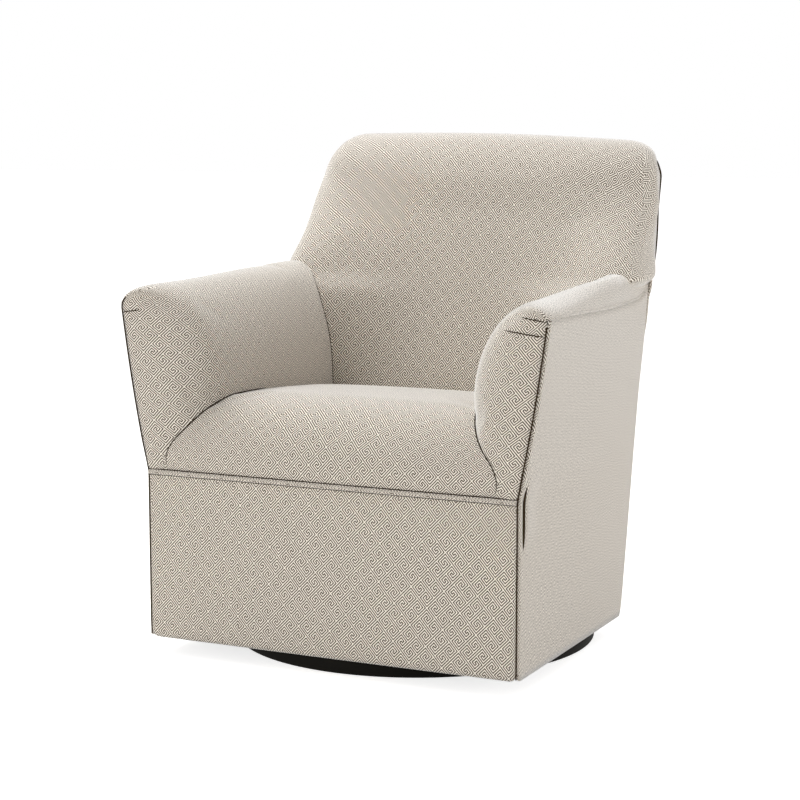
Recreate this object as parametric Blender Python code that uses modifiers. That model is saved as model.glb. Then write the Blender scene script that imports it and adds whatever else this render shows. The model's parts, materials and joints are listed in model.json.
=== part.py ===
"""A swivel glider chair: an upholstered armchair that turns on a floor ring and glides on swing links.

Metres, +Z up. The chair faces -Y and +X is the sitter's left. The origin lies on the floor, below the
middle of the chair's overall box.
"""

from math import cos, pi, radians, sin, sqrt, tan

import bmesh
import bpy
from mathutils import Matrix, Vector

# Clearances
GAP = 0.0003  # between pieces that touch
RUNNING = 0.0004  # radial play of a turning pin or shaft
CUT_GAP = 0.0008  # between soft pads that press on each other

# Cover
ARM_SPREAD = 0.750  # over the front top corners of the arms
SKIRT_WIDTH = 0.665  # over the box below the seat
BACK_WIDTH = 0.628  # over the outside back, above the arms
TOTAL_HEIGHT = 0.865
SKIRT_BOTTOM = 0.034
WELT_HEIGHT = 0.312  # seam between front border and seat
ARM_HEIGHT = 0.592  # outer edge of the arm
FRONT_REACH = 0.3667  # front border, ahead of the origin
FOOT_REACH = 0.1163  # outside back at the skirt's lower edge, behind the origin
BACK_LEAN = radians(16.9)
PANEL = 0.004  # covered board of an outside panel
SIDE_COLUMNS = 6  # cuts along and up the twisted outside arms, so that they follow their frame
SIDE_ROWS = 4

# Arms
ARM_CROWN = 0.028  # rise of the arm's top over its outer edge
ARM_REAR_RISE = 0.010  # further rise of the arm's top towards the back
CROWN_INSET = 0.034  # highest line of the arm, from its outer edge
SHOULDER_HEIGHT = 0.450  # where the inner face of the arm stops leaning out
ARM_INNER = 0.229  # inner face of the arm, from the middle of the chair
NOSE_LENGTH = 0.095  # rounded front end of the arm
NOSE_LEAD = 0.0025  # the arm's front stands this far ahead of the border
NOSE_RISE = 0.012  # top of the arm's front edge above its outer edge
NOSE_START = radians(6)  # turn of the arm pad's first section round its nose
NOSE_SECTIONS = 5
ARM_SECTIONS = 5  # behind the nose
CROWN_POINTS = 4  # from the arm's outer edge to its crown
INNER_POINTS = 8  # from the crown down the inner face
WALL_ROWS = 4  # up the arm pad's hidden outer wall
RAIL_POINTS = 4  # over the arm rail's top

# Seat
SEAT_HEIGHT = 0.448  # middle of the seat, at its highest
SEAT_CROWN = 0.022  # fall of the seat from its middle to the arms
SEAT_FALL = 0.040  # fall of the seat from its highest line to the back
SEAT_ROLL = 0.105  # depth of the rounded front edge
SEAT_BULGE = 0.010  # front edge ahead of the border
SEAT_EAR = 0.306  # half width of the seat's front where it meets the welt
WELT_RADIUS = 0.004
SEAT_SECTIONS = 12
SEAT_POINTS = 8  # over the front roll, and again to the back
ROOM_PAST = 0.05  # the arm's space runs this share of its length past the arm

# Back
BACK_PAD = 0.070  # pad at its middle
LUMBAR = 0.012  # swell of the pad at the small of the back
LUMBAR_HEIGHT = 0.520
WING = 0.095  # how far the pad's sides come forward at the arms
WING_HEIGHT = 0.590  # where the sides come forward most
WING_SPAN = 0.210  # height over which this fades upwards
BOXING = 0.028  # straight side of the pad near the top
BACK_FLARE = 0.015  # extra half width of the pad where it meets the arms
BACK_ROLL = 0.075  # rounded top of the back
CORNER_RADIUS = 0.048  # top corners of the back
TOP_ARCH = 0.012  # fall of the top edge towards its corners
CORNER_POINTS = 6
TOP_POINTS = 4  # from a top corner to the middle
BACK_COLUMNS = 9  # from the back pad's middle to its side
BACK_ROWS = 4  # in each of the back pad's three heights
ROLL_ROWS = 5  # over its top
LAST_ROLL = 0.4  # share of a row left flat at the top
ROLL_FULLNESS = 0.8  # 1 gives the top a round section, and less a fuller one
SIDE_CROWDING = 0.6  # gathers the columns towards the pad's sides

# Seat frame
POST_WIDTH = 0.030
POST_DEPTH = 0.040
BOARD = 0.025  # thickness of rails
SEAT_RAIL_DEPTH = 0.050
ARM_RAIL_DEPTH = 0.060
POST_DROP = 0.030  # front posts below the arm's edge
RAIL_COVER = 0.010  # padding over the arm rail
DECK_DROP = 0.0145  # seat rails below the welt
SPRING_WIRE = 0.004
SPRING_SWING = 0.022  # half width of a sinuous spring
SPRING_PITCH = 0.026  # from bend to bend
SPRING_FLAT = 0.4  # straight share of a bend
SPRING_SPACING = 0.100
SPRING_COUNT = 4
SPRING_BITE = 0.018  # spring end on its rail
WEBBING = 0.0015
WEBBING_WIDTH = 0.055
WEBBING_BELOW = 0.070  # lower band below the arm rails
DUST_COVER = 0.0015
DUST_GAP = 0.090  # half width of the strip left open for the swivel

# Swivel base
SWIVEL_Y = -0.0287
RING_RADIUS = 0.305
RING_WIDTH = 0.034
RING_HEIGHT = 0.0227
RING_EDGE = 0.0045  # bevel on the ring's outer edges
RING_SIDES = 48
GLIDE_HEIGHT = 0.003
GLIDE_RADIUS = 0.012
SPIDER_SHEET = 0.006
SPIDER_ARM = 0.032
SPIDER_LIFT = 0.015  # spider above the ring's lower face
PLATE_RADIUS = 0.062
PLATE_SHEET = 0.004
BEARING_INNER = 0.034
BEARING_OUTER = 0.056
BEARING_HEIGHT = 0.0185
KING_RADIUS = 0.010
KING_HEAD_RADIUS = 0.016
KING_HEAD_HEIGHT = 0.006
KING_NUT_HEIGHT = 0.009

# Glide linkage
LINK_LENGTH = 0.115
LINK_WIDTH = 0.028
LINK_SHEET = 0.005
PIVOT_HEIGHT = 0.205  # upper pivots, above the floor
PIVOT_SPACING = 0.180
PIVOT_LEAD = 0.160  # front pivots ahead of the swivel
SHAFT_RADIUS = 0.007
RIVET_RADIUS = 0.005
RIVET_HEAD_RADIUS = 0.008
RIVET_HEAD = 0.0035
CARRIAGE_WIDTH = 0.304
CARRIAGE_SHEET = 0.004
CARRIAGE_END = 0.024  # carriage past its pivots
BUSH_WALL = 0.003
BUSH_FLANGE_RADIUS = 0.014
BUSH_FLANGE = 0.003
LINK_PLAY = 0.0055  # link beside the bush
RAIL_PLAY = 0.0075  # glide rail beside the link
RAIL_SHEET = 0.004
RAIL_FLANGE = 0.040
RAIL_BELOW = 0.022  # glide rail below its pivots
RAIL_ABOVE = 0.035  # glide rail's flange above its pivots
RAIL_END = 0.032  # glide rail past its pivots
STRETCHER = 0.040
ROUND_SIDES = 24
SMOOTH_ANGLE = radians(35)  # sharper edges stay sharp

# Derived places
FRONT_Y = -FRONT_REACH
NOSE_Y = FRONT_Y - NOSE_LEAD
NOSE_TOP = ARM_HEIGHT + NOSE_RISE
ROLL_START = TOTAL_HEIGHT - BACK_ROLL
DECK = WELT_HEIGHT - DECK_DROP
SEAT_BOTTOM = DECK + GAP + SPRING_WIRE + GAP
POST_FACE = PANEL + 2 * GAP  # outer face of a post, below the cover
POST_INNER = POST_FACE + POST_WIDTH
BACK_PAD_REAR = POST_FACE + POST_DEPTH + GAP + WEBBING + GAP
FRAME_BOTTOM = SKIRT_BOTTOM + DUST_COVER + GAP
FRONT_POST_REAR = FRONT_Y + PANEL + GAP + POST_DEPTH
RAIL_FRONT = FRONT_POST_REAR + GAP
FRONT_PIVOT_Y = SWIVEL_Y - PIVOT_LEAD
REAR_PIVOT_Y = FRONT_PIVOT_Y + PIVOT_SPACING
LOW_PIVOT = PIVOT_HEIGHT - LINK_LENGTH
LINK_X = CARRIAGE_WIDTH / 2 + GAP + BUSH_FLANGE + LINK_PLAY
RAIL_X = LINK_X + LINK_SHEET + RAIL_PLAY
RAIL_TOP = LOW_PIVOT + RAIL_ABOVE
STRETCHER_BOTTOM = RAIL_TOP + GAP
BOTTOM_RAIL_TOP = STRETCHER_BOTTOM + STRETCHER
RING_BOTTOM = GLIDE_HEIGHT + GAP
SPIDER_BOTTOM = RING_BOTTOM + SPIDER_LIFT
BEARING_BOTTOM = SPIDER_BOTTOM + SPIDER_SHEET + GAP
UPPER_PLATE = BEARING_BOTTOM + BEARING_HEIGHT + GAP
CARRIAGE_BOTTOM = UPPER_PLATE + PLATE_SHEET + GAP
CARRIAGE_FLOOR = CARRIAGE_BOTTOM + CARRIAGE_SHEET
BACK_CURVE = 6  # how square the pad's sides are: 2 is an ellipse


def clear_scene():
    for old in list(bpy.data.objects):
        bpy.data.objects.remove(old, do_unlink=True)


def new_collection(name):
    collection = bpy.data.collections.new(name)
    bpy.context.scene.collection.children.link(collection)
    return collection


def finish(name, colour, roughness, metallic=0.0):
    """A plain painted, woven or bare finish."""
    made = bpy.data.materials.new(name)
    made.use_nodes = True
    shader = made.node_tree.nodes["Principled BSDF"]
    shader.inputs["Base Color"].default_value = (*colour, 1.0)
    shader.inputs["Roughness"].default_value = roughness
    shader.inputs["Metallic"].default_value = metallic
    return made


clear_scene()
CHAIR = new_collection("swivel_glider_chair")
CUTTERS = new_collection("cutters")
FABRIC = finish("key_weave_fabric", (0.49, 0.43, 0.37), 0.9)
WOOD = finish("frame_timber", (0.48, 0.33, 0.19), 0.7)
ENAMEL = finish("black_enamel", (0.012, 0.011, 0.011), 0.35)
STEEL = finish("zinc_plated_steel", (0.55, 0.56, 0.57), 0.38, 1.0)
SPRING_STEEL = finish("spring_steel", (0.16, 0.16, 0.17), 0.45, 1.0)
NYLON = finish("nylon", (0.78, 0.76, 0.70), 0.5)
GLIDE_PLASTIC = finish("glide_plastic", (0.03, 0.03, 0.03), 0.55)
STRAP = finish("elastic_webbing", (0.10, 0.09, 0.08), 0.85)
CAMBRIC = finish("black_cambric", (0.02, 0.02, 0.022), 0.95)


def mix(a, b, share):
    return a + (b - a) * share


def smooth(share):
    """Eased step from 0 to 1."""
    share = min(max(share, 0.0), 1.0)
    return share * share * (3 - 2 * share)


# The shape of the cover


def rear_y(z):
    """The outside back, a leaning plane."""
    return FOOT_REACH + tan(BACK_LEAN) * (z - SKIRT_BOTTOM)


def side_x(y, z):
    """The outer side: upright to the welt at the front, then flaring, and drawing in to the rear."""
    rise = min(max((z - WELT_HEIGHT) / (ARM_HEIGHT - WELT_HEIGHT), 0.0), 1.0)
    front = mix(SKIRT_WIDTH, ARM_SPREAD, rise) / 2
    rise = min(max((z - SKIRT_BOTTOM) / (ARM_HEIGHT - SKIRT_BOTTOM), 0.0), 1.0)
    rear = mix(SKIRT_WIDTH, BACK_WIDTH, rise) / 2
    share = min(max((y - FRONT_Y) / (rear_y(z) - FRONT_Y), 0.0), 1.0)
    return mix(front, rear, share)


def side_heights():
    """Where the outer side is cut across: at the welt, at the arm rail's foot and between."""
    low = [mix(SKIRT_BOTTOM, WELT_HEIGHT, step / SIDE_ROWS) for step in range(1, SIDE_ROWS)]
    arm_low = ARM_HEIGHT - ARM_RAIL_DEPTH
    return low + [mix(WELT_HEIGHT, arm_low, step / SIDE_ROWS) for step in range(SIDE_ROWS + 1)]


def arm_top(y):
    """Height of the arm's crown."""
    share = (y - FRONT_Y) / (rear_y(ARM_HEIGHT) - FRONT_Y)
    return ARM_HEIGHT + ARM_CROWN + ARM_REAR_RISE * smooth(share)


def arm_curve(y, inset):
    """Section of the arm from its outer edge over the crown and down its inner face, as (x, z)."""
    edge = side_x(y, ARM_HEIGHT)
    crown_x = edge - CROWN_INSET
    crown_z = arm_top(y) - inset
    inner_x = ARM_INNER + inset
    points = []
    for step in range(CROWN_POINTS):
        turn = pi / 2 * step / CROWN_POINTS
        x = mix(crown_x, edge, cos(turn))
        points.append((x, mix(ARM_HEIGHT, crown_z, sin(turn))))
    for step in range(INNER_POINTS + 1):
        turn = pi / 2 * step / INNER_POINTS
        x = mix(crown_x, inner_x, sin(turn))
        points.append((x, mix(SHOULDER_HEIGHT, crown_z, cos(turn))))
    return points


def arm_ring(y, spread, inset, bottom):
    """Section of the arm at y, as (x, z). Spread runs from 0 at the nose's tip to 1 behind the nose."""
    crown_z = arm_top(y) - inset
    curve = arm_curve(y, inset)
    ring = []
    for x, z in curve + [(curve[-1][0], bottom)]:
        share = (z - WELT_HEIGHT) / (crown_z - WELT_HEIGHT)
        tip_z = mix(WELT_HEIGHT, NOSE_TOP, share)
        tip_x = side_x(NOSE_Y, tip_z)
        ring.append((mix(tip_x, x, spread), mix(tip_z, z, spread)))
    wall = [(ARM_SPREAD, mix(bottom, ARM_HEIGHT, step / WALL_ROWS)) for step in range(WALL_ROWS)]
    return ring + wall


def arm_rings(inset, bottom, outer, lead=None, past=0.0):
    """Sections of the arm from its nose to the back pad's rear face, at a depth of outer below the side.

    A cutter also has one section nearer the nose's tip, at the turn lead, and one past the rear by a share.
    """
    turns = [mix(NOSE_START, pi / 2, step / NOSE_SECTIONS) for step in range(NOSE_SECTIONS + 1)]
    if lead:
        turns.insert(0, lead)
    sections = []
    for turn in turns:
        y = NOSE_Y + inset + NOSE_LENGTH * (1 - cos(turn))
        sections.append([(x, y, z) for x, z in arm_ring(y, sin(turn), inset, bottom)])
    start = sections[-1][0][1]
    shares = [step / ARM_SECTIONS for step in range(1, ARM_SECTIONS + 1)]
    if past:
        shares.append(1 + past)
    for share in shares:
        ring = arm_ring(mix(start, rear_y(ARM_HEIGHT), share), 1, inset, bottom)
        sections.append([(x, mix(start, rear_y(z) - BACK_PAD_REAR, share), z) for x, z in ring])
    return [[(min(x, side_x(y, z) - outer), y, z) for x, y, z in section] for section in sections]


def back_half(z):
    """Half width of the back pad: between the arms below their tops, flared where it sits on them."""
    over = smooth((z - ARM_HEIGHT) / ARM_CROWN)
    fade = smooth((z - ARM_HEIGHT) / WING_SPAN)
    return BACK_WIDTH / 2 - POST_WIDTH * (1 - over) + BACK_FLARE * over * (1 - fade)


def back_depth(share, z):
    """Thickness of the back pad ahead of its frame, at a share of the half width."""
    below = smooth((z - DECK) / (WING_HEIGHT - DECK))
    above = 1 - smooth((z - WING_HEIGHT) / WING_SPAN)
    wing = WING * min(below, above)
    swell = LUMBAR * max(0.0, 1 - ((z - LUMBAR_HEIGHT) / WING_SPAN) ** 2)
    straight = BOXING + wing * 2 / 3
    full = BACK_PAD + swell * (1 - share**2) + wing * abs(share) ** 3
    return straight + (full - straight) * sqrt(max(0.0, 1 - abs(share) ** BACK_CURVE))


def back_rows(bottom):
    """Rows of the back pad: height, half width, half width of its rear, share of its depth, rear depth."""
    over_arms = ARM_HEIGHT + ARM_CROWN
    rows = []
    for start, end in ((bottom, ARM_HEIGHT), (ARM_HEIGHT, over_arms), (over_arms, ROLL_START)):
        for row in range(BACK_ROWS):
            z = mix(start, end, row / BACK_ROWS)
            if z <= ARM_HEIGHT:
                rows.append((z, back_half(z), back_half(z), 1.0, BACK_PAD_REAR + GAP))
            else:
                rows.append((z, back_half(z), BACK_WIDTH / 2, 1.0, PANEL + GAP))
    for row in range(ROLL_ROWS + 1):
        turn = pi / 2 * row / (ROLL_ROWS + LAST_ROLL)
        z = ROLL_START + BACK_ROLL * sin(turn)
        draw = CORNER_RADIUS * (1 - cos(turn))
        rows.append((z, back_half(z) - draw, BACK_WIDTH / 2 - draw, cos(turn) ** ROLL_FULLNESS, PANEL + GAP))
    return rows


def back_rings(bottom, forward=0.0, below=0.0):
    """Level sections of the back pad, from its lower edge, or from below it, to its top."""
    rows = back_rows(bottom)
    if below:
        rows.insert(0, (bottom - below, *rows[0][1:]))
    columns = [column / BACK_COLUMNS for column in range(-BACK_COLUMNS, BACK_COLUMNS + 1)]
    shares = [sin(pi / 2 * abs(column)) ** SIDE_CROWDING * (1 if column > 0 else -1) for column in columns]
    rings = []
    for z, half, rear_half, depth_share, rear_depth in rows:
        arch = TOP_ARCH * smooth((z - WING_HEIGHT) / (TOTAL_HEIGHT - WING_HEIGHT))
        front = []
        rear = []
        for share in shares:
            low = z - arch * share**2
            depth = BACK_PAD_REAR + back_depth(share, z) * depth_share + forward
            front.append((half * share, rear_y(low) - depth, low))
            rear.append((rear_half * share, rear_y(low) - rear_depth, low))
        rings.append(front + rear[::-1])
    return rings


def back_outline(inset, bottom):
    """Edge of the back seen from behind, as (x, z): up its left side, over the top and down again."""
    half = BACK_WIDTH / 2 - inset
    side = [(half, ROLL_START)]
    for step in range(1, CORNER_POINTS + 1):
        turn = pi / 2 * step / CORNER_POINTS
        x = half - CORNER_RADIUS * (1 - cos(turn))
        side.append((x, ROLL_START + (BACK_ROLL - TOP_ARCH - inset) * sin(turn)))
    corner_x, corner_z = side[-1]
    for step in range(1, TOP_POINTS):
        x = corner_x * (1 - step / TOP_POINTS)
        side.append((x, corner_z + TOP_ARCH * (1 - (x / corner_x) ** 2)))
    if bottom < ARM_HEIGHT:
        foot = side_x(rear_y(bottom), bottom) - inset
        side = [(foot, bottom), (half, ARM_HEIGHT)] + side
    elif bottom < ROLL_START:
        side.insert(0, (half, bottom))
    top = [(0, corner_z + TOP_ARCH)]
    return side + top + [(-x, z) for x, z in reversed(side)]


def on_back_plane(outline, depth):
    return [(x, rear_y(z) - depth, z) for x, z in outline]


def seat_ring(x, rear):
    """Side section of the seat at x, from its lower front edge over the roll and the crown to the back."""
    fall = SEAT_CROWN * (x / ARM_INNER) ** 2
    top = SEAT_HEIGHT - fall
    edge = WELT_HEIGHT + WELT_RADIUS + GAP
    tuck = 3 * WELT_RADIUS
    points = [(x, FRONT_Y + tuck, SEAT_BOTTOM), (x, FRONT_Y + tuck, edge - WELT_RADIUS / 2)]
    for step in range(SEAT_POINTS + 1):
        turn = pi / 2 * step / SEAT_POINTS
        y = FRONT_Y + SEAT_ROLL * (1 - cos(turn)) - SEAT_BULGE * sin(2 * turn)
        points.append((x, y, mix(edge, top, sin(turn))))
    start = FRONT_Y + SEAT_ROLL
    for step in range(1, SEAT_POINTS + 1):
        share = step / SEAT_POINTS
        points.append((x, mix(start, rear, share), top - SEAT_FALL * share**2))
    points.append((x, rear, SEAT_BOTTOM))
    return points


# Making pieces


def piece(name, built, material, collection=None):
    """An object from a bmesh, with smooth round faces and sharp edges."""
    mesh = bpy.data.meshes.new(name)
    built.to_mesh(mesh)
    built.free()
    mesh.materials.append(material)
    mesh.shade_smooth()
    mesh.set_sharp_from_angle(angle=SMOOTH_ANGLE)
    made = bpy.data.objects.new(name, mesh)
    (collection or CHAIR).objects.link(made)
    return made


def face_out(built):
    """Turns all faces round where a mirrored place has left them facing in."""
    if built.calc_volume(signed=True) < 0:
        bmesh.ops.reverse_faces(built, faces=built.faces[:])
    return built


def loft(name, rings, material, collection=None):
    """A solid through closed rings of as many points each."""
    built = bmesh.new()
    loops = [[built.verts.new(point) for point in ring] for ring in rings]
    count = len(loops[0])
    for near, far in zip(loops, loops[1:]):
        for here in range(count):
            there = (here + 1) % count
            built.faces.new((near[here], near[there], far[there], far[here]))
    built.faces.new(loops[0][::-1])
    built.faces.new(loops[-1])
    built.normal_update()
    bmesh.ops.triangulate(built, faces=built.faces[:], quad_method="FIXED")
    return piece(name, face_out(built), material, collection)


def plank(name, low, high, place, material, cut_y=(), cut_z=()):
    """A box cut across at some places, then set where place puts each of its points."""
    built = bmesh.new()
    bmesh.ops.create_cube(built, size=1)
    low = Vector(low)
    high = Vector(high)
    for vert in built.verts:
        vert.co = [mix(low[axis], high[axis], vert.co[axis] + 0.5) for axis in range(3)]
    cuts = [((0, y, 0), (0, 1, 0)) for y in cut_y] + [((0, 0, z), (0, 0, 1)) for z in cut_z]
    for point, normal in cuts:
        everything = built.verts[:] + built.edges[:] + built.faces[:]
        bmesh.ops.bisect_plane(built, geom=everything, plane_co=point, plane_no=normal)
    for vert in built.verts:
        vert.co = place(*vert.co)
    return piece(name, face_out(built), material)


def turned(name, profile, material, at=(0, 0, 0), along=(0, 0, 0), ring=False, sides=ROUND_SIDES):
    """A turned piece: profile points are (radius, height), from the top down the outside."""
    mesh = bpy.data.meshes.new(name)
    edges = [(here, here + 1) for here in range(len(profile) - 1)]
    if ring:
        edges.append((len(profile) - 1, 0))
    mesh.from_pydata([(radius, 0, height) for radius, height in profile], edges, [])
    mesh.materials.append(material)
    made = bpy.data.objects.new(name, mesh)
    CHAIR.objects.link(made)
    made.location = at
    made.rotation_euler = along
    screw = made.modifiers.new("turn", "SCREW")
    screw.steps = sides
    screw.render_steps = sides
    screw.use_merge_vertices = True
    screw.merge_threshold = 0.00001
    screw.use_smooth_shade = False
    return made


def flat_plate(name, outlines, thickness, material, at, along=(0, 0, 0)):
    """A sheet cut to closed outlines: the first is its edge, and the others are holes."""
    curve = bpy.data.curves.new(name, "CURVE")
    curve.dimensions = "2D"
    curve.fill_mode = "BOTH"
    curve.extrude = thickness / 2
    for outline in outlines:
        spline = curve.splines.new("POLY")
        spline.points.add(len(outline) - 1)
        spline.use_cyclic_u = True
        for point, (x, y) in zip(spline.points, outline):
            point.co = (x, y, 0, 1)
    curve.materials.append(material)
    made = bpy.data.objects.new(name, curve)
    CHAIR.objects.link(made)
    made.location = at
    made.rotation_euler = along
    return made


def arc(x, y, radius, start, sweep, steps):
    """Points on an arc, both ends included."""
    turns = [start + sweep * step / steps for step in range(steps + 1)]
    return [(x + radius * cos(turn), y + radius * sin(turn)) for turn in turns]


def circle(x, y, radius):
    return arc(x, y, radius, 0, 2 * pi, ROUND_SIDES)[:-1]


def cut(target, cutter):
    boolean = target.modifiers.new("cut_" + cutter.name, "BOOLEAN")
    boolean.operation = "DIFFERENCE"
    boolean.object = cutter
    return target


def as_cutter(made):
    made.hide_render = True
    made.display_type = "WIRE"
    return made


def drill(target, name, start, end, radius):
    """A round hole from start to end."""
    start = Vector(start)
    run = Vector(end) - start
    built = bmesh.new()
    turn = Vector((0, 0, 1)).rotation_difference(run).to_matrix().to_4x4()
    middle = Matrix.Translation(start + run / 2) @ turn
    bmesh.ops.create_cone(
        built,
        cap_ends=True,
        segments=ROUND_SIDES,
        radius1=radius,
        radius2=radius,
        depth=run.length,
        matrix=middle,
    )
    return cut(target, as_cutter(piece(name, built, STEEL, CUTTERS)))


def axis_empty(name, at, parent=None):
    """Marks a joint's axis."""
    empty = bpy.data.objects.new(name, None)
    CHAIR.objects.link(empty)
    empty.parent = parent
    if parent:
        empty.matrix_parent_inverse = Matrix.Translation(parent["place"]).inverted()
    empty.location = at
    empty["place"] = at
    return empty


def carry(axis, pieces):
    """Pieces that move about an axis hang on its empty, and stay where they are."""
    for made in pieces:
        made.parent = axis
        made.matrix_parent_inverse = Matrix.Translation(axis["place"]).inverted()


# Places in the seat frame


def on_side(sign):
    """Depth below the outer side, y, z."""
    return lambda depth, y, z: (sign * (side_x(y, z) - depth), y, z)


def along_side(sign, front, rear_depth):
    """Depth below the outer side, share of the way from front to the outside back, z."""

    def place(depth, share, z):
        y = mix(front, rear_y(z) - rear_depth, share)
        return (sign * (side_x(y, z) - depth), y, z)

    return place


def rear_corner(sign):
    """Depth below the outer side at its rear edge, depth below the outside back, z."""

    def place(depth, rear_depth, z):
        return (sign * (side_x(rear_y(z), z) - depth), rear_y(z) - rear_depth, z)

    return place


def between_front_posts(share, y, z):
    return (share * (side_x(y, z) - POST_INNER - GAP), y, z)


def between_back_posts(share, depth, z):
    return (share * (side_x(rear_y(z), z) - POST_INNER - GAP), rear_y(z) - depth, z)


def behind_border(front, rear_depth):
    """x, share of the way from front to the outside back, z."""
    return lambda x, share, z: (x, mix(front, rear_y(z) - rear_depth, share), z)


# The floor base


def base_ring():
    outer = RING_RADIUS
    inner = RING_RADIUS - RING_WIDTH
    top = RING_BOTTOM + RING_HEIGHT
    profile = [
        (inner, top),
        (outer - RING_EDGE, top),
        (outer, top - RING_EDGE),
        (outer, RING_BOTTOM + RING_EDGE),
        (outer - RING_EDGE, RING_BOTTOM),
        (inner, RING_BOTTOM),
    ]
    facing = (0, 0, pi / RING_SIDES)
    return turned("base_ring", profile, ENAMEL, (0, SWIVEL_Y, 0), facing, ring=True, sides=RING_SIDES)


def base_spider():
    """A four-armed plate whose arms end just inside the ring."""
    half = SPIDER_ARM / 2
    inside = (RING_RADIUS - RING_WIDTH) * cos(pi / RING_SIDES)
    reach = sqrt(inside**2 - half**2) - GAP
    hub = sqrt(PLATE_RADIUS**2 - half**2)
    waist = PLATE_RADIUS * sqrt(0.5)
    outline = []
    for quarter in range(4):
        turn = Matrix.Rotation(quarter * pi / 2, 2)
        for corner in ((hub, -half), (reach, -half), (reach, half), (hub, half), (waist, waist)):
            outline.append(tuple(turn @ Vector(corner)))
    at = (0, SWIVEL_Y, SPIDER_BOTTOM + SPIDER_SHEET / 2)
    holes = [circle(0, 0, KING_RADIUS + GAP)]
    return flat_plate("base_spider", [outline] + holes, SPIDER_SHEET, ENAMEL, at)


def floor_glides():
    radius = RING_RADIUS - RING_WIDTH / 2
    profile = [(0, GLIDE_HEIGHT), (GLIDE_RADIUS, GLIDE_HEIGHT), (GLIDE_RADIUS, 0), (0, 0)]
    spots = {
        "floor_glide_left": (radius, SWIVEL_Y, 0),
        "floor_glide_right": (-radius, SWIVEL_Y, 0),
        "floor_glide_front": (0, SWIVEL_Y - radius, 0),
        "floor_glide_rear": (0, SWIVEL_Y + radius, 0),
    }
    return [turned(name, profile, GLIDE_PLASTIC, at) for name, at in spots.items()]


def swivel_plate():
    """The plate on the bearing that the carriage is bolted to."""
    hole = KING_RADIUS + RUNNING
    top = UPPER_PLATE + PLATE_SHEET
    profile = [(hole, top), (PLATE_RADIUS, top), (PLATE_RADIUS, UPPER_PLATE), (hole, UPPER_PLATE)]
    return turned("swivel_plate", profile, STEEL, (0, SWIVEL_Y, 0), ring=True)


def swivel_bearing():
    """A thrust race with a groove round its rim."""
    low = BEARING_BOTTOM
    high = low + BEARING_HEIGHT
    groove = BEARING_HEIGHT / 6
    middle = (low + high) / 2
    profile = [
        (BEARING_INNER, high),
        (BEARING_OUTER, high),
        (BEARING_OUTER, middle + groove),
        (BEARING_OUTER - groove, middle),
        (BEARING_OUTER, middle - groove),
        (BEARING_OUTER, low),
        (BEARING_INNER, low),
    ]
    return turned("swivel_bearing", profile, STEEL, (0, SWIVEL_Y, 0), ring=True)


def king_pin():
    top = CARRIAGE_FLOOR + GAP + KING_NUT_HEIGHT + KING_RADIUS / 4
    head = SPIDER_BOTTOM - GAP
    profile = [
        (0, top),
        (KING_RADIUS, top),
        (KING_RADIUS, head),
        (KING_HEAD_RADIUS, head),
        (KING_HEAD_RADIUS, head - KING_HEAD_HEIGHT),
        (0, head - KING_HEAD_HEIGHT),
    ]
    return turned("king_pin", profile, STEEL, (0, SWIVEL_Y, 0))


def king_nut():
    low = CARRIAGE_FLOOR + GAP
    hole = KING_RADIUS + RUNNING
    profile = [
        (hole, low + KING_NUT_HEIGHT),
        (KING_HEAD_RADIUS, low + KING_NUT_HEIGHT),
        (KING_HEAD_RADIUS, low),
        (hole, low),
    ]
    return turned("king_nut", profile, STEEL, (0, SWIVEL_Y, 0), ring=True)


# The turntable and the swings


def glide_carriage():
    """A bent channel that stands on the swivel and holds the four upper pivots."""
    half = CARRIAGE_WIDTH / 2
    inside = half - CARRIAGE_SHEET
    top = PIVOT_HEIGHT + LINK_WIDTH / 2 + BUSH_WALL
    section = [
        (-half, CARRIAGE_BOTTOM),
        (half, CARRIAGE_BOTTOM),
        (half, top),
        (inside, top),
        (inside, CARRIAGE_FLOOR),
        (-inside, CARRIAGE_FLOOR),
        (-inside, top),
        (-half, top),
    ]
    ends = (FRONT_PIVOT_Y - CARRIAGE_END, REAR_PIVOT_Y + CARRIAGE_END)
    carriage = loft("glide_carriage", [[(x, y, z) for x, z in section] for y in ends], STEEL)
    hole = SHAFT_RADIUS + RUNNING + BUSH_WALL + GAP
    for name, y in (("front_pivot_holes", FRONT_PIVOT_Y), ("rear_pivot_holes", REAR_PIVOT_Y)):
        drill(carriage, name, (-CARRIAGE_WIDTH, y, PIVOT_HEIGHT), (CARRIAGE_WIDTH, y, PIVOT_HEIGHT), hole)
    below = (0, SWIVEL_Y, CARRIAGE_BOTTOM - CARRIAGE_SHEET)
    drill(carriage, "king_hole", below, (0, SWIVEL_Y, CARRIAGE_FLOOR + CARRIAGE_SHEET), KING_RADIUS + RUNNING)
    return carriage


def pivot_bush(name, sign, y):
    """A flanged bush pressed into the carriage's wall from outside."""
    bore = SHAFT_RADIUS + RUNNING
    outer = bore + BUSH_WALL
    inside = -CARRIAGE_SHEET
    profile = [
        (bore, GAP + BUSH_FLANGE),
        (BUSH_FLANGE_RADIUS, GAP + BUSH_FLANGE),
        (BUSH_FLANGE_RADIUS, GAP),
        (outer, GAP),
        (outer, inside),
        (bore, inside),
    ]
    at = (sign * CARRIAGE_WIDTH / 2, y, PIVOT_HEIGHT)
    return turned(name, profile, NYLON, at, (0, sign * pi / 2, 0), ring=True)


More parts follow.
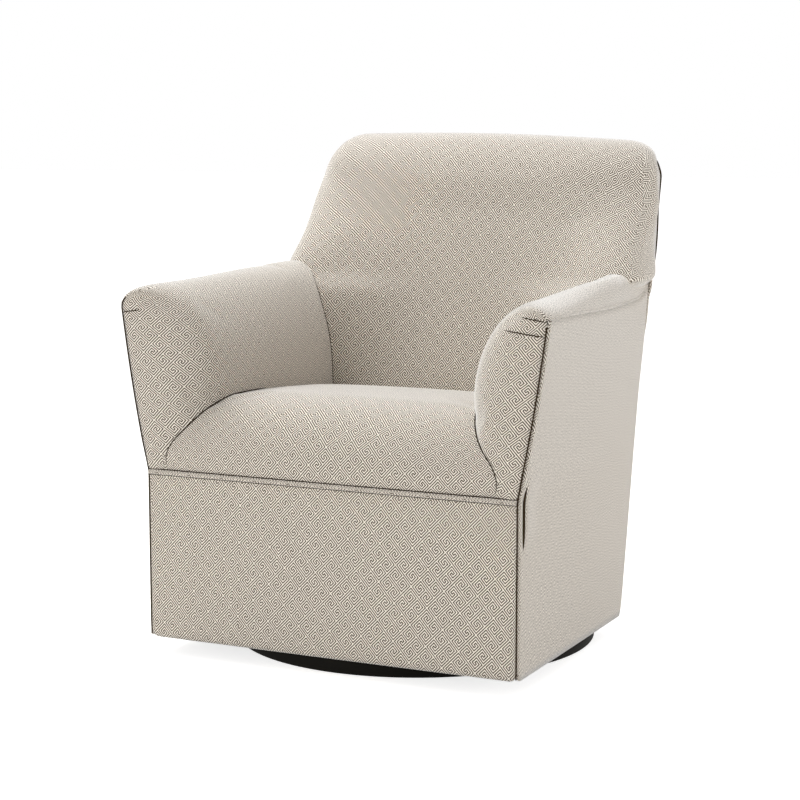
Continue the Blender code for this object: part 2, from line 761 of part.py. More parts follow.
def swing_link(name, sign, y):
    """A flat bar with round ends that hangs from the shaft and carries the glide rail."""
    radius = LINK_WIDTH / 2
    outline = arc(0, 0, radius, 0, pi, ROUND_SIDES // 2)
    outline += arc(0, -LINK_LENGTH, radius, pi, pi, ROUND_SIDES // 2)
    holes = [circle(0, 0, SHAFT_RADIUS + GAP), circle(0, -LINK_LENGTH, RIVET_RADIUS + GAP)]
    at = (sign * (LINK_X + LINK_SHEET / 2), y, PIVOT_HEIGHT)
    return flat_plate(name, [outline] + holes, LINK_SHEET, STEEL, at, (pi / 2, 0, pi / 2))


def swing_shaft(name, y):
    half = LINK_X + LINK_SHEET + RIVET_HEAD
    profile = [(0, half), (SHAFT_RADIUS, half), (SHAFT_RADIUS, -half), (0, -half)]
    return turned(name, profile, STEEL, (0, y, PIVOT_HEIGHT), (0, pi / 2, 0))


def swing_rivet(name, sign, y):
    """The lower pivot: a headed pin through the link and the glide rail."""
    near = LINK_X - GAP
    far = RAIL_X + RAIL_SHEET + GAP
    profile = [
        (0, far + RIVET_HEAD),
        (RIVET_HEAD_RADIUS, far + RIVET_HEAD),
        (RIVET_HEAD_RADIUS, far),
        (RIVET_RADIUS, far),
        (RIVET_RADIUS, near),
        (RIVET_HEAD_RADIUS, near),
        (RIVET_HEAD_RADIUS, near - RIVET_HEAD),
        (0, near - RIVET_HEAD),
    ]
    return turned(name, profile, STEEL, (0, y, LOW_PIVOT), (0, sign * pi / 2, 0))


def swing(end, y):
    """Shaft, two links and two rivets of one pair of links."""
    made = [swing_shaft(end + "_shaft", y)]
    for side, sign in (("left", 1), ("right", -1)):
        made.append(swing_link(f"{end}_{side}_link", sign, y))
        made.append(swing_rivet(f"{end}_{side}_rivet", sign, y))
    return made


# The seat frame


def glide_rail(name, sign):
    """A steel angle under the stretcher, hung on the two rivets of its side."""
    inner = RAIL_X
    outer = RAIL_X + RAIL_FLANGE
    section = [
        (inner, LOW_PIVOT - RAIL_BELOW),
        (inner + RAIL_SHEET, LOW_PIVOT - RAIL_BELOW),
        (inner + RAIL_SHEET, RAIL_TOP - RAIL_SHEET),
        (outer, RAIL_TOP - RAIL_SHEET),
        (outer, RAIL_TOP),
        (inner, RAIL_TOP),
    ]
    ends = (FRONT_PIVOT_Y - RAIL_END, REAR_PIVOT_Y + RAIL_END)
    rail = loft(name, [[(sign * x, y, z) for x, z in section] for y in ends], STEEL)
    for hole, y in (("front", FRONT_PIVOT_Y), ("rear", REAR_PIVOT_Y)):
        start = (sign * (inner - RAIL_SHEET), y, LOW_PIVOT)
        end = (sign * (inner + 2 * RAIL_SHEET), y, LOW_PIVOT)
        drill(rail, f"{name}_{hole}_hole", start, end, RIVET_RADIUS + RUNNING)
    return rail


def bottom_frame():
    """The box of boards at the foot, and the two stretchers that carry the glide rails."""
    front = FRONT_Y + PANEL + GAP
    low = FRAME_BOTTOM
    high = BOTTOM_RAIL_TOP
    inner = POST_FACE + BOARD
    made = [
        plank("front_bottom_rail", (-1, front, low), (1, front + BOARD, high), between_front_posts, WOOD),
        plank("rear_bottom_rail", (-1, POST_FACE, low), (1, inner, high), between_back_posts, WOOD),
    ]
    run_rear = POST_FACE + POST_DEPTH + GAP
    stretch_rear = inner + GAP
    for side, sign in (("left", 1), ("right", -1)):
        place = along_side(sign, FRONT_POST_REAR + GAP, run_rear)
        made.append(plank(side + "_bottom_rail", (POST_FACE, 0, low), (inner, 1, high), place, WOOD))
        place = behind_border(front + BOARD + GAP, stretch_rear)
        edges = sorted((sign * RAIL_X, sign * (RAIL_X + STRETCHER)))
        corners = ((edges[0], 0, STRETCHER_BOTTOM), (edges[1], 1, BOTTOM_RAIL_TOP))
        made.append(plank(side + "_stretcher", *corners, place, WOOD))
        made.append(glide_rail(side + "_glide_rail", sign))
    return made


def seat_rails():
    front = FRONT_Y + PANEL + GAP
    low = DECK - SEAT_RAIL_DEPTH
    inner = POST_FACE + BOARD
    rear = POST_FACE + POST_DEPTH
    made = [
        plank("front_seat_rail", (-1, front, low), (1, front + BOARD, DECK), between_front_posts, WOOD),
        plank("rear_seat_rail", (-1, POST_FACE, low), (1, rear, DECK), between_back_posts, WOOD),
    ]
    for side, sign in (("left", 1), ("right", -1)):
        place = along_side(sign, FRONT_POST_REAR + GAP, rear + GAP)
        made.append(plank(side + "_seat_rail", (POST_FACE, 0, low), (inner, 1, DECK), place, WOOD))
    return made


def posts():
    front = FRONT_Y + PANEL + GAP
    post_top = ARM_HEIGHT - POST_DROP
    back_top = TOTAL_HEIGHT - BACK_ROLL - GAP
    made = []
    for side, sign in (("left", 1), ("right", -1)):
        low = (POST_FACE, front, FRAME_BOTTOM)
        high = (POST_INNER, FRONT_POST_REAR, post_top)
        made.append(plank(side + "_front_post", low, high, on_side(sign), WOOD, cut_z=side_heights()))
        low = (POST_FACE, POST_FACE, FRAME_BOTTOM)
        high = (POST_INNER, POST_FACE + POST_DEPTH, back_top)
        cuts = side_heights() + [ARM_HEIGHT]
        made.append(plank(side + "_back_post", low, high, rear_corner(sign), WOOD, cut_z=cuts))
    return made


def rail_top(y, clear):
    """Rounded top of the arm rail, from its inner side to its outer one, as (depth, z)."""
    high = arm_top(y) - RAIL_COVER
    low = ARM_HEIGHT - RAIL_COVER
    points = []
    for step in range(RAIL_POINTS + 1):
        turn = pi / 2 * (1 - step / RAIL_POINTS)
        depth = mix(POST_INNER + clear, POST_FACE, cos(turn))
        points.append((depth, mix(low, high, sin(turn)) + clear))
    return points


def arm_rail(name, sign):
    """A rail with a rounded top, from the front post to the back post."""
    low = ARM_HEIGHT - ARM_RAIL_DEPTH
    place = along_side(sign, RAIL_FRONT, POST_FACE + POST_DEPTH + GAP)
    rings = []
    for step in range(ARM_SECTIONS + 1):
        share = step / ARM_SECTIONS
        y = mix(RAIL_FRONT, rear_y(ARM_HEIGHT), share)
        section = [(POST_FACE, low), (POST_INNER, low)] + rail_top(y, 0)
        rings.append([place(depth, share, z) for depth, z in section])
    return loft(name, rings, WOOD)


def arm_frame_room(name, sign, bottom):
    """The space inside an arm's padding for the front post, the arm rail and the outside arm."""
    post_top = ARM_HEIGHT - POST_DROP + CUT_GAP
    inner = POST_INNER + CUT_GAP
    wall = [(inner, z) for z in side_heights() if bottom < z < post_top]
    inside = [(-PANEL, bottom), (inner, bottom)] + wall
    edge = [(PANEL + GAP, ARM_HEIGHT + GAP), (-PANEL, ARM_HEIGHT + GAP)]
    over_post = [(depth, min(z, post_top)) for depth, z in rail_top(RAIL_FRONT, CUT_GAP)]
    rings = []
    for y, top in (
        (FRONT_Y + PANEL, over_post),
        (RAIL_FRONT - 2 * GAP / 3, over_post),
        (RAIL_FRONT - GAP / 3, rail_top(RAIL_FRONT, CUT_GAP)),
    ):
        rings.append([on_side(sign)(depth, y, z) for depth, z in inside + top + edge])
    place = along_side(sign, RAIL_FRONT, POST_FACE + POST_DEPTH + GAP)
    for step in range(ARM_SECTIONS + 2):
        share = step / ARM_SECTIONS
        top = rail_top(mix(RAIL_FRONT, rear_y(ARM_HEIGHT), share), CUT_GAP)
        rings.append([place(depth, share, z) for depth, z in inside + top + edge])
    return as_cutter(loft(name, rings, FABRIC, CUTTERS))


def back_top_rail():
    """An arched board on the back posts, with the back's rounded top corners."""
    outline = back_outline(POST_FACE, TOTAL_HEIGHT - BACK_ROLL)
    depths = (POST_FACE, POST_FACE + POST_DEPTH)
    return loft("back_top_rail", [on_back_plane(outline, depth) for depth in depths], WOOD)


def back_frame_room():
    """The space inside the back's padding for the posts, the top rail and the webbing."""
    outline = back_outline(POST_FACE - CUT_GAP, ARM_HEIGHT - ARM_RAIL_DEPTH)
    rings = [on_back_plane(outline, depth) for depth in (-PANEL, BACK_PAD_REAR)]
    return as_cutter(loft("back_frame_room", rings, FABRIC, CUTTERS))


# Springing


def seat_spring(name, x):
    """A sinuous wire from the front seat rail to the rear one."""
    height = DECK + GAP + SPRING_WIRE / 2
    start = FRONT_Y + PANEL + GAP + BOARD - SPRING_BITE
    end = rear_y(DECK) - POST_FACE - POST_DEPTH + SPRING_BITE
    bends = round((end - start) / SPRING_PITCH)
    curve = bpy.data.curves.new(name, "CURVE")
    curve.dimensions = "3D"
    curve.bevel_depth = SPRING_WIRE / 2
    curve.bevel_resolution = 1
    curve.use_fill_caps = True
    points = [(x, start, height)]
    for bend in range(bends):
        reach = SPRING_SWING if bend % 2 else -SPRING_SWING
        for share in (0.5 - SPRING_FLAT / 2, 0.5 + SPRING_FLAT / 2):
            points.append((x + reach, mix(start, end, (bend + share) / bends), height))
    points.append((x, end, height))
    spline = curve.splines.new("POLY")
    spline.points.add(len(points) - 1)
    for point, place in zip(spline.points, points):
        point.co = (*place, 1)
    curve.materials.append(SPRING_STEEL)
    made = bpy.data.objects.new(name, curve)
    CHAIR.objects.link(made)
    return made


def springing():
    made = []
    for number in range(SPRING_COUNT):
        x = (number - (SPRING_COUNT - 1) / 2) * SPRING_SPACING
        made.append(seat_spring(f"seat_spring_{number + 1}", x))
    depth = POST_FACE + POST_DEPTH + GAP
    reach = 1 + POST_WIDTH / BACK_WIDTH
    heights = (ARM_HEIGHT - ARM_RAIL_DEPTH - WEBBING_BELOW, mix(ARM_HEIGHT, ROLL_START, 0.5))
    for number, height in enumerate(heights):
        low = (-reach, depth, height - WEBBING_WIDTH / 2)
        high = (reach, depth + WEBBING, height + WEBBING_WIDTH / 2)
        made.append(plank(f"back_webbing_{number + 1}", low, high, between_back_posts, STRAP))
    return made


# Upholstery


def on_front(share, y, z):
    """Share of the half width, y, z."""
    return (share * side_x(y, z), y, z)


def outside_panels():
    made = []
    columns = [step / SIDE_COLUMNS for step in range(1, SIDE_COLUMNS)]
    rows = side_heights()
    low = (0, 0, SKIRT_BOTTOM)
    high = (PANEL, 1, ARM_HEIGHT)
    for side, sign in (("left", 1), ("right", -1)):
        place = along_side(sign, FRONT_Y + PANEL + GAP, PANEL + GAP)
        made.append(plank(side + "_outside_arm", low, high, place, FABRIC, cut_y=columns, cut_z=rows))
    outline = back_outline(0, SKIRT_BOTTOM)
    made.append(loft("outside_back", [on_back_plane(outline, depth) for depth in (0, PANEL)], FABRIC))
    low = (-1, FRONT_Y, SKIRT_BOTTOM)
    high = (1, FRONT_Y + PANEL, WELT_HEIGHT - WELT_RADIUS - GAP)
    made.append(plank("front_border", low, high, on_front, FABRIC))
    return made


def dust_covers():
    """Cambric strips under the bottom boards, either side of the swivel."""
    made = []
    inner = DUST_GAP
    outer = SKIRT_WIDTH / 2 - POST_FACE - GAP
    place = behind_border(FRONT_Y + PANEL + GAP, POST_FACE)
    for side, sign in (("left", 1), ("right", -1)):
        edges = sorted((sign * inner, sign * outer))
        low = (edges[0], 0, SKIRT_BOTTOM)
        high = (edges[1], 1, SKIRT_BOTTOM + DUST_COVER)
        made.append(plank(side + "_dust_cover", low, high, place, CAMBRIC))
    return made


def mirrored(rings):
    return [[(-x, y, z) for x, y, z in ring] for ring in rings]


def soft_pads():
    """Seat, back and arm pads. The back is cut to sit on the arms, and the seat to sit between all three."""
    pad = arm_rings(0, WELT_HEIGHT, 0)
    left = loft("left_arm_pad", pad, FABRIC)
    right = loft("right_arm_pad", mirrored(pad), FABRIC)
    cut(left, arm_frame_room("left_arm_frame_room", 1, WELT_HEIGHT - PANEL))
    cut(right, arm_frame_room("right_arm_frame_room", -1, WELT_HEIGHT - PANEL))
    room = arm_rings(-CUT_GAP, SEAT_BOTTOM - DECK_DROP, -PANEL, lead=NOSE_START / 4, past=ROOM_PAST)
    left_room = as_cutter(loft("left_arm_room", room, FABRIC, CUTTERS))
    right_room = as_cutter(loft("right_arm_room", mirrored(room), FABRIC, CUTTERS))
    low = DECK + 2 * PANEL
    back = loft("back_pad", back_rings(low), FABRIC)
    cut(back, back_frame_room())
    back_room = as_cutter(loft("back_room", back_rings(low, CUT_GAP, 3 * PANEL), FABRIC, CUTTERS))
    rear = rear_y(SEAT_BOTTOM) - BACK_PAD_REAR - BACK_PAD / 4
    spots = [mix(-SEAT_EAR, SEAT_EAR, step / SEAT_SECTIONS) for step in range(SEAT_SECTIONS + 1)]
    seat = loft("seat_cushion", [seat_ring(x, rear) for x in spots], FABRIC)
    for cutter in (left_room, right_room):
        cut(back, cutter)
        cut(seat, cutter)
    cut(seat, back_room)
    return [seat, back, left, right]


def main():
    base_ring()
    base_spider()
    floor_glides()
    king_pin()
    king_nut()

    swivel = axis_empty("swivel_axis", (0, SWIVEL_Y, 0))
    front = axis_empty("front_swing_axis", (0, FRONT_PIVOT_Y, PIVOT_HEIGHT), swivel)
    rear = axis_empty("rear_swing_axis", (0, REAR_PIVOT_Y, PIVOT_HEIGHT), swivel)
    hung = axis_empty("seat_axis", (0, FRONT_PIVOT_Y, LOW_PIVOT), front)

    turntable = [swivel_bearing(), swivel_plate(), glide_carriage()]
    for end, y in (("front", FRONT_PIVOT_Y), ("rear", REAR_PIVOT_Y)):
        for side, sign in (("left", 1), ("right", -1)):
            turntable.append(pivot_bush(f"{end}_{side}_bush", sign, y))
    carry(swivel, turntable)
    carry(front, swing("front", FRONT_PIVOT_Y))
    carry(rear, swing("rear", REAR_PIVOT_Y))

    seat = bottom_frame() + seat_rails() + posts()
    seat += [arm_rail("left_arm_rail", 1), arm_rail("right_arm_rail", -1), back_top_rail()]
    seat += springing() + outside_panels() + dust_covers() + soft_pads()
    carry(hung, seat)


main()
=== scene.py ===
# %% [markdown]
# # A swivel glider chair, dressed
#
# The imported solids are loaded first and are never moved. Everything that follows is cover, welt, painted
# seam shade and finish, made in the same metres and the same frame.

import json
from math import acos, asin, cos, pi, radians, sin, sqrt, tan, tanh

import bmesh
import bpy
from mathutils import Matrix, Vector
from mathutils.bvhtree import BVHTree

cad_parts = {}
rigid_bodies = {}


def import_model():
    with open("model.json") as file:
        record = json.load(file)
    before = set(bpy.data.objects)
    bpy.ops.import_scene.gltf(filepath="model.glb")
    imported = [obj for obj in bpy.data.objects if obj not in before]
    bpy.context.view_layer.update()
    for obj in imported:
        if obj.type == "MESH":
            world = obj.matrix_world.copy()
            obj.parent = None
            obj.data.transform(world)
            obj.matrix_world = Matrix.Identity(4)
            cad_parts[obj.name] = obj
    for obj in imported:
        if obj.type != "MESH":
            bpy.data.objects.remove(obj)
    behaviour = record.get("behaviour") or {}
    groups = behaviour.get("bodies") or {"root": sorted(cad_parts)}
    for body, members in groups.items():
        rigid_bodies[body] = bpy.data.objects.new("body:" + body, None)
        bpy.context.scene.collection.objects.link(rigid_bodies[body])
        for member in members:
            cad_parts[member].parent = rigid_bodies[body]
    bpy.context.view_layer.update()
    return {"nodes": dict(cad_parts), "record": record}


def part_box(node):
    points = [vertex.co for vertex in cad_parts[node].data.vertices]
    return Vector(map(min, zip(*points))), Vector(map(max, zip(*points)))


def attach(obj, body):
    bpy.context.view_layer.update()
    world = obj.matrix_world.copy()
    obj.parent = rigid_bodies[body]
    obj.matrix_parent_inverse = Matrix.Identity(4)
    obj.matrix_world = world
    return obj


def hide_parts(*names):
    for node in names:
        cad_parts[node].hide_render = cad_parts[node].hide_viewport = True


for leftover in list(bpy.data.objects):
    bpy.data.objects.remove(leftover)
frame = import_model()
scene = bpy.context.scene

# %% [markdown]
# ## Camera
#
# The photograph was taken from about the height of the back's top, off the chair's left front corner. A
# camera could be set by eye. Here its place and lens are fitted to the photograph's perspective, so that
# every edge falls where it does there. The lens follows from a focal length in pixels, on a picture
# 800 pixels wide.

# %% Camera
PICTURE = 800
FOCAL_PIXELS = 1988.27
SENSOR = 36.0
CAMERA_AT = Vector((1.45147, -3.12025, 0.87815))
CAMERA_AIM = Vector((-0.02432, -0.04086, 0.40844))

camera_data = bpy.data.cameras.new("photo_camera")
camera_data.sensor_width = SENSOR
camera_data.lens = FOCAL_PIXELS * SENSOR / PICTURE
camera = bpy.data.objects.new("photo_camera", camera_data)
scene.collection.objects.link(camera)
camera.location = CAMERA_AT
camera.rotation_euler = (CAMERA_AIM - CAMERA_AT).to_track_quat("-Z", "Y").to_euler()
scene.camera = camera
print("lens", round(camera_data.lens, 2), "mm")

# %% [markdown]
# ## The chair's main lines
#
# A frame maker marks out the side boards, the arm rails and the raked back first, and every cover is cut to
# those lines. They could be typed in again for each piece. Here most are read from the solids, and a few
# rules say where each surface runs, so that neighbours always share an edge.

# %% Main lines
border_low, border_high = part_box("front_border")
arm_low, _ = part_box("left_arm_pad")
_, side_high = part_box("left_outside_arm")
rear_low, rear_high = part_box("outside_back")

# The cover stands this far past the frame at the hem, at the sides and at the arms' noses.
HEM_PROUD, SKIRT_PROUD, NOSE_PROUD = 0.003, 0.001, 0.0025
FRAME_Z = border_low.z
HEM_Z = FRAME_Z - HEM_PROUD
FRONT_Y = border_low.y
BOARD = border_high.y - border_low.y
SKIRT_HALF = border_high.x + SKIRT_PROUD
WELT_Z = arm_low.z
ARM_EDGE_Z = side_high.z
ARM_HALF = 0.3808
FLARE_BOW = 0.0032
NOSE_Y = FRONT_Y - NOSE_PROUD
BACK_HALF = 0.314
TOP_Z = rear_high.z
LEAN = radians(16.9)
FOOT_Y = rear_low.y + BOARD
FRONT_ROUND, REAR_ROUND = 0.004, 0.016
SHARP_FROM, SHARP_RUN = 0.40, 0.15
EDGE_DIP, EDGE_RUN = 0.014, 0.455
EDGE_RISE, EDGE_TURN, EDGE_TURN_RUN = 0.022, 0.190, 0.100
print("hem", round(HEM_Z, 4), "welt", round(WELT_Z, 4), "arm edge", round(ARM_EDGE_Z, 4))

# %% Shares and curves
TINY = 1e-6


def mix(a, b, share):
    return a + (b - a) * share


def clamp(share):
    return min(max(share, 0.0), 1.0)


def ease(share):
    share = clamp(share)
    return share * share * (3 - 2 * share)


def rounding(past, radius):
    """How far a rounded edge falls away, this far past the start of its curve."""
    share = clamp(past / max(radius, TINY))
    return radius * (1 - sqrt(1 - share * share))


print("a quarter of the way, an eased share is", ease(0.25))


# %% Where the surfaces run
def rear_y(z):
    """Where the raked outside back stands at this height."""
    return FOOT_Y + tan(LEAN) * (z - FRAME_Z)


def side_x(y, z):
    """Half width of the outside arm: upright at the hem, flaring to the arm's top at the front."""
    up = clamp((z - WELT_Z) / (ARM_EDGE_Z - WELT_Z))
    front = mix(SKIRT_HALF, ARM_HALF, up) + FLARE_BOW * sin(pi * up)
    rear = mix(SKIRT_HALF, BACK_HALF, clamp((z - FRAME_Z) / (ARM_EDGE_Z - FRAME_Z)))
    half = mix(front, rear, clamp((y - FRONT_Y) / (rear_y(z) - FRONT_Y)))
    soft = REAR_ROUND * (1 - ease((z - SHARP_FROM) / SHARP_RUN))
    return half - rounding(y - rear_y(z) + soft, soft)


def arm_edge(y):
    """Height of the seam on the arm's outer edge, which dips along the arm and turns up at the back."""
    dip = EDGE_DIP * ease((y - FRONT_Y) / EDGE_RUN)
    return ARM_EDGE_Z - dip + EDGE_RISE * clamp((y - EDGE_TURN) / EDGE_TURN_RUN) ** 2


print("chair is", round(2 * side_x(FRONT_Y, ARM_EDGE_Z), 3), "m wide over the arms")

# %% [markdown]
# ## Cut cloth
#
# Each cover is a piece of cloth that an upholsterer cuts flat and pulls over padding. It could be sculpted,
# or shrunk onto the solid. Here it is a grid of points in rows, worked out from rules, because then each
# point also knows its place on the flat cloth in metres, and the weave keeps its real size and follows the
# cut.

# %% Flat places
def runs(rows, middle_column):
    """How far each point lies from the middle column, measured along its row."""
    found = []
    for row in rows:
        run = [0.0] * len(row)
        for c in range(middle_column + 1, len(row)):
            run[c] = run[c - 1] + (row[c] - row[c - 1]).length
        for c in range(middle_column - 1, -1, -1):
            run[c] = run[c + 1] - (row[c] - row[c + 1]).length
        found.append(run)
    return found


three_points = [Vector((x, 0, 0)) for x in range(3)]
print("flat places of three points, 1 m apart:", runs([three_points], 1)[0])


# %% Cloth from rows of points
def cut_cloth(name, rows, middle_row=0, middle_column=0, lay=(0.0, 0.0, 0.0), apart=None):
    """A sheet over rows of points. Its flat places start at the middle row and column.

    The lay is where the first block of the weave starts on the flat cloth, and how far the cloth is turned.
    A part cut apart takes its flat places from its own rule: these columns, up to this row, where it may
    join the rest of the cloth.
    """
    start_u, start_v, turn = lay
    height, width = len(rows), len(rows[0])
    across = runs(rows, middle_column)
    columns = list(map(list, zip(*rows)))
    along = list(map(list, zip(*runs(columns, middle_row))))
    built = bmesh.new()
    weave = built.loops.layers.uv.new("weave")
    points = [[built.verts.new(point) for point in row] for row in rows]
    for r in range(height - 1):
        for c in range(width - 1):
            corners = ((r, c), (r, c + 1), (r + 1, c + 1), (r + 1, c))
            in_part = apart and r < apart["row"] and c in apart["columns"]
            face = built.faces.new([points[a][b] for a, b in corners])
            face.smooth = True
            for loop, (a, b) in zip(face.loops, corners):
                u, v = across[a][b] - start_u, along[a][b] - start_v
                if in_part:
                    u, v = apart["place"](rows[a][b])
                    if apart["joined"]:
                        last = apart["row"]
                        last_u, last_v = apart["place"](rows[last][b])
                        u, v = u + across[last][b] - last_u, v + along[last][b] - last_v
                loop[weave].uv = (u * cos(turn) - v * sin(turn), u * sin(turn) + v * cos(turn))
    mesh = bpy.data.meshes.new(name)
    built.to_mesh(mesh)
    built.free()
    piece = bpy.data.objects.new(name, mesh)
    scene.collection.objects.link(piece)
    return piece


print("cloth keeps its flat places in a UV map in metres")


# %% Rim and lie of a sheet
def rim(rows):
    """Numbers of the points along the four edges of a grid."""
    height, width = len(rows), len(rows[0])
    return [r * width + c for r in range(height) for c in range(width)
            if r in (0, height - 1) or c in (0, width - 1)]


def laid(piece, rows):
    """The sheet's points as they lie now, in rows, with their outward normals."""
    width = len(rows[0])
    points = [point.co.copy() for point in piece.data.vertices]
    normals = [Vector(normal.vector) for normal in piece.data.vertex_normals]
    return ([points[i:i + width] for i in range(0, len(points), width)],
            [normals[i:i + width] for i in range(0, len(normals), width)])


print("a grid of 3 by 4 points has", len(rim([[0] * 4] * 3)), "on its rim")

# %% [markdown]
# ## Padding
#
# Foam and wadding push a tight cover out between the lines where it is sewn down. A formula could add that
# bulge. A short cloth simulation with air pressure behind the sheet gives a more natural one: the rim is
# held and the middle swells. The movement levels off at a limit, so that no cover strays from its solid.

# %% Swell a cover
FRAMES = 20


def swell(piece, held, pressure, most):
    """Blows a sheet out from behind, with its held points sewn down, by less than the most movement."""
    before = [point.co.copy() for point in piece.data.vertices]
    piece.vertex_groups.new(name="sewn").add(held, 1.0, "REPLACE")
    cloth = piece.modifiers.new("swell", "CLOTH")
    cloth.settings.vertex_group_mass = "sewn"
    cloth.settings.use_pressure = True
    cloth.settings.uniform_pressure_force = pressure
    cloth.settings.effector_weights.gravity = 0.0
    cloth.settings.quality = 5
    cloth.settings.tension_stiffness = 25.0
    cloth.settings.compression_stiffness = 25.0
    cloth.settings.bending_stiffness = 2.0
    cloth.collision_settings.use_collision = False
    cloth.point_cache.frame_start = 1
    cloth.point_cache.frame_end = FRAMES
    for step in range(1, FRAMES + 1):
        scene.frame_set(step)
    settled = piece.evaluated_get(bpy.context.evaluated_depsgraph_get())
    moves = [point.co - old for point, old in zip(settled.data.vertices, before)]
    piece.modifiers.remove(cloth)
    piece.vertex_groups.clear()
    for point, old, move in zip(piece.data.vertices, before, moves):
        far = max(move.length, TINY)
        point.co = old + move * (most * tanh(far / most) / far)
    scene.frame_set(1)
    return max(move.length for move in moves)


print("covers settle in", FRAMES, "frames")

# %% Finish a cover
COVER = 0.003


def finish_cover(piece, finer=1):
    """Gives a sheet its thickness, inwards, and smooths it, as a plain mesh. Returns its triangle count."""
    wall = piece.modifiers.new("wall", "SOLIDIFY")
    wall.thickness = COVER
    wall.offset = -1.0
    if finer:
        smooth = piece.modifiers.new("smooth", "SUBSURF")
        smooth.levels = smooth.render_levels = finer
        smooth.boundary_smooth = "PRESERVE_CORNERS"
    made = bpy.data.meshes.new_from_object(piece.evaluated_get(bpy.context.evaluated_depsgraph_get()))
    old = piece.data
    piece.modifiers.clear()
    piece.data = made
    bpy.data.meshes.remove(old)
    made.name = piece.name
    return sum(len(face.vertices) - 2 for face in made.polygons)


print("covers are", COVER, "m thick")

# %% [markdown]
# ## Materials
#
# A network of nodes could be built one node and one link at a time, in many lines. One small function does
# it in one line for each node, with its settings and links. Colours are written as sRGB hex, as a picture
# editor shows them, and turned to linear by one function.

# %% Node helper and colours
def add(tree, kind, inputs=(), **settings):
    """Adds a node. Settings are its properties, and inputs maps sockets to values or to other outputs."""
    made = tree.nodes.new(kind)
    for name, value in settings.items():
        setattr(made, name, value)
    for name, value in dict(inputs).items():
        if isinstance(value, bpy.types.NodeSocket):
            tree.links.new(value, made.inputs[name])
        else:
            made.inputs[name].default_value = value
    return made


def colour(hex_code):
    """Linear RGBA from an sRGB hex code."""
    channels = [int(hex_code[i:i + 2], 16) / 255 for i in (1, 3, 5)]
    return [c / 12.92 if c <= 0.04045 else ((c + 0.055) / 1.055) ** 2.4 for c in channels] + [1.0]


def new_material(name):
    made = bpy.data.materials.new(name)
    made.use_nodes = True
    made.node_tree.nodes.clear()
    return made, made.node_tree


print("a middle grey is", round(colour("#808080")[0], 3), "in linear light")

# %% [markdown]
# ### The key weave
#
# The cover is a jacquard: cream and taupe yarns woven so that a Greek key shows on the bias. It is matt,
# with a soft sheen at grazing angles. An image could hold the key, but nodes draw it sharp at any distance.
# Square blocks stand on their corners, twelve lines to a side. A block is folded about both its middles, so
# one spiral gives all four. A square spiral is two sets of half squares: the far half is moved sideways by
# one line, so the rings join into one path. The next block is the same one turned on its side.

# %% Key weave
REPEAT_ACROSS, REPEAT_UP = 0.0565, 0.0617
BIAS = radians(45)
LINES = 12
HEART = (2.5, 3.0, 0)
DARK_SHARE = 0.25
CREAM, TAUPE = "#f7efe3", "#55483a"
SLUB_WIDE, SLUB_LONG = 0.0016, 0.008
SLUB_SHADE, SLUB_RISE = 0.45, 0.25
YARN_RISE = 0.0003


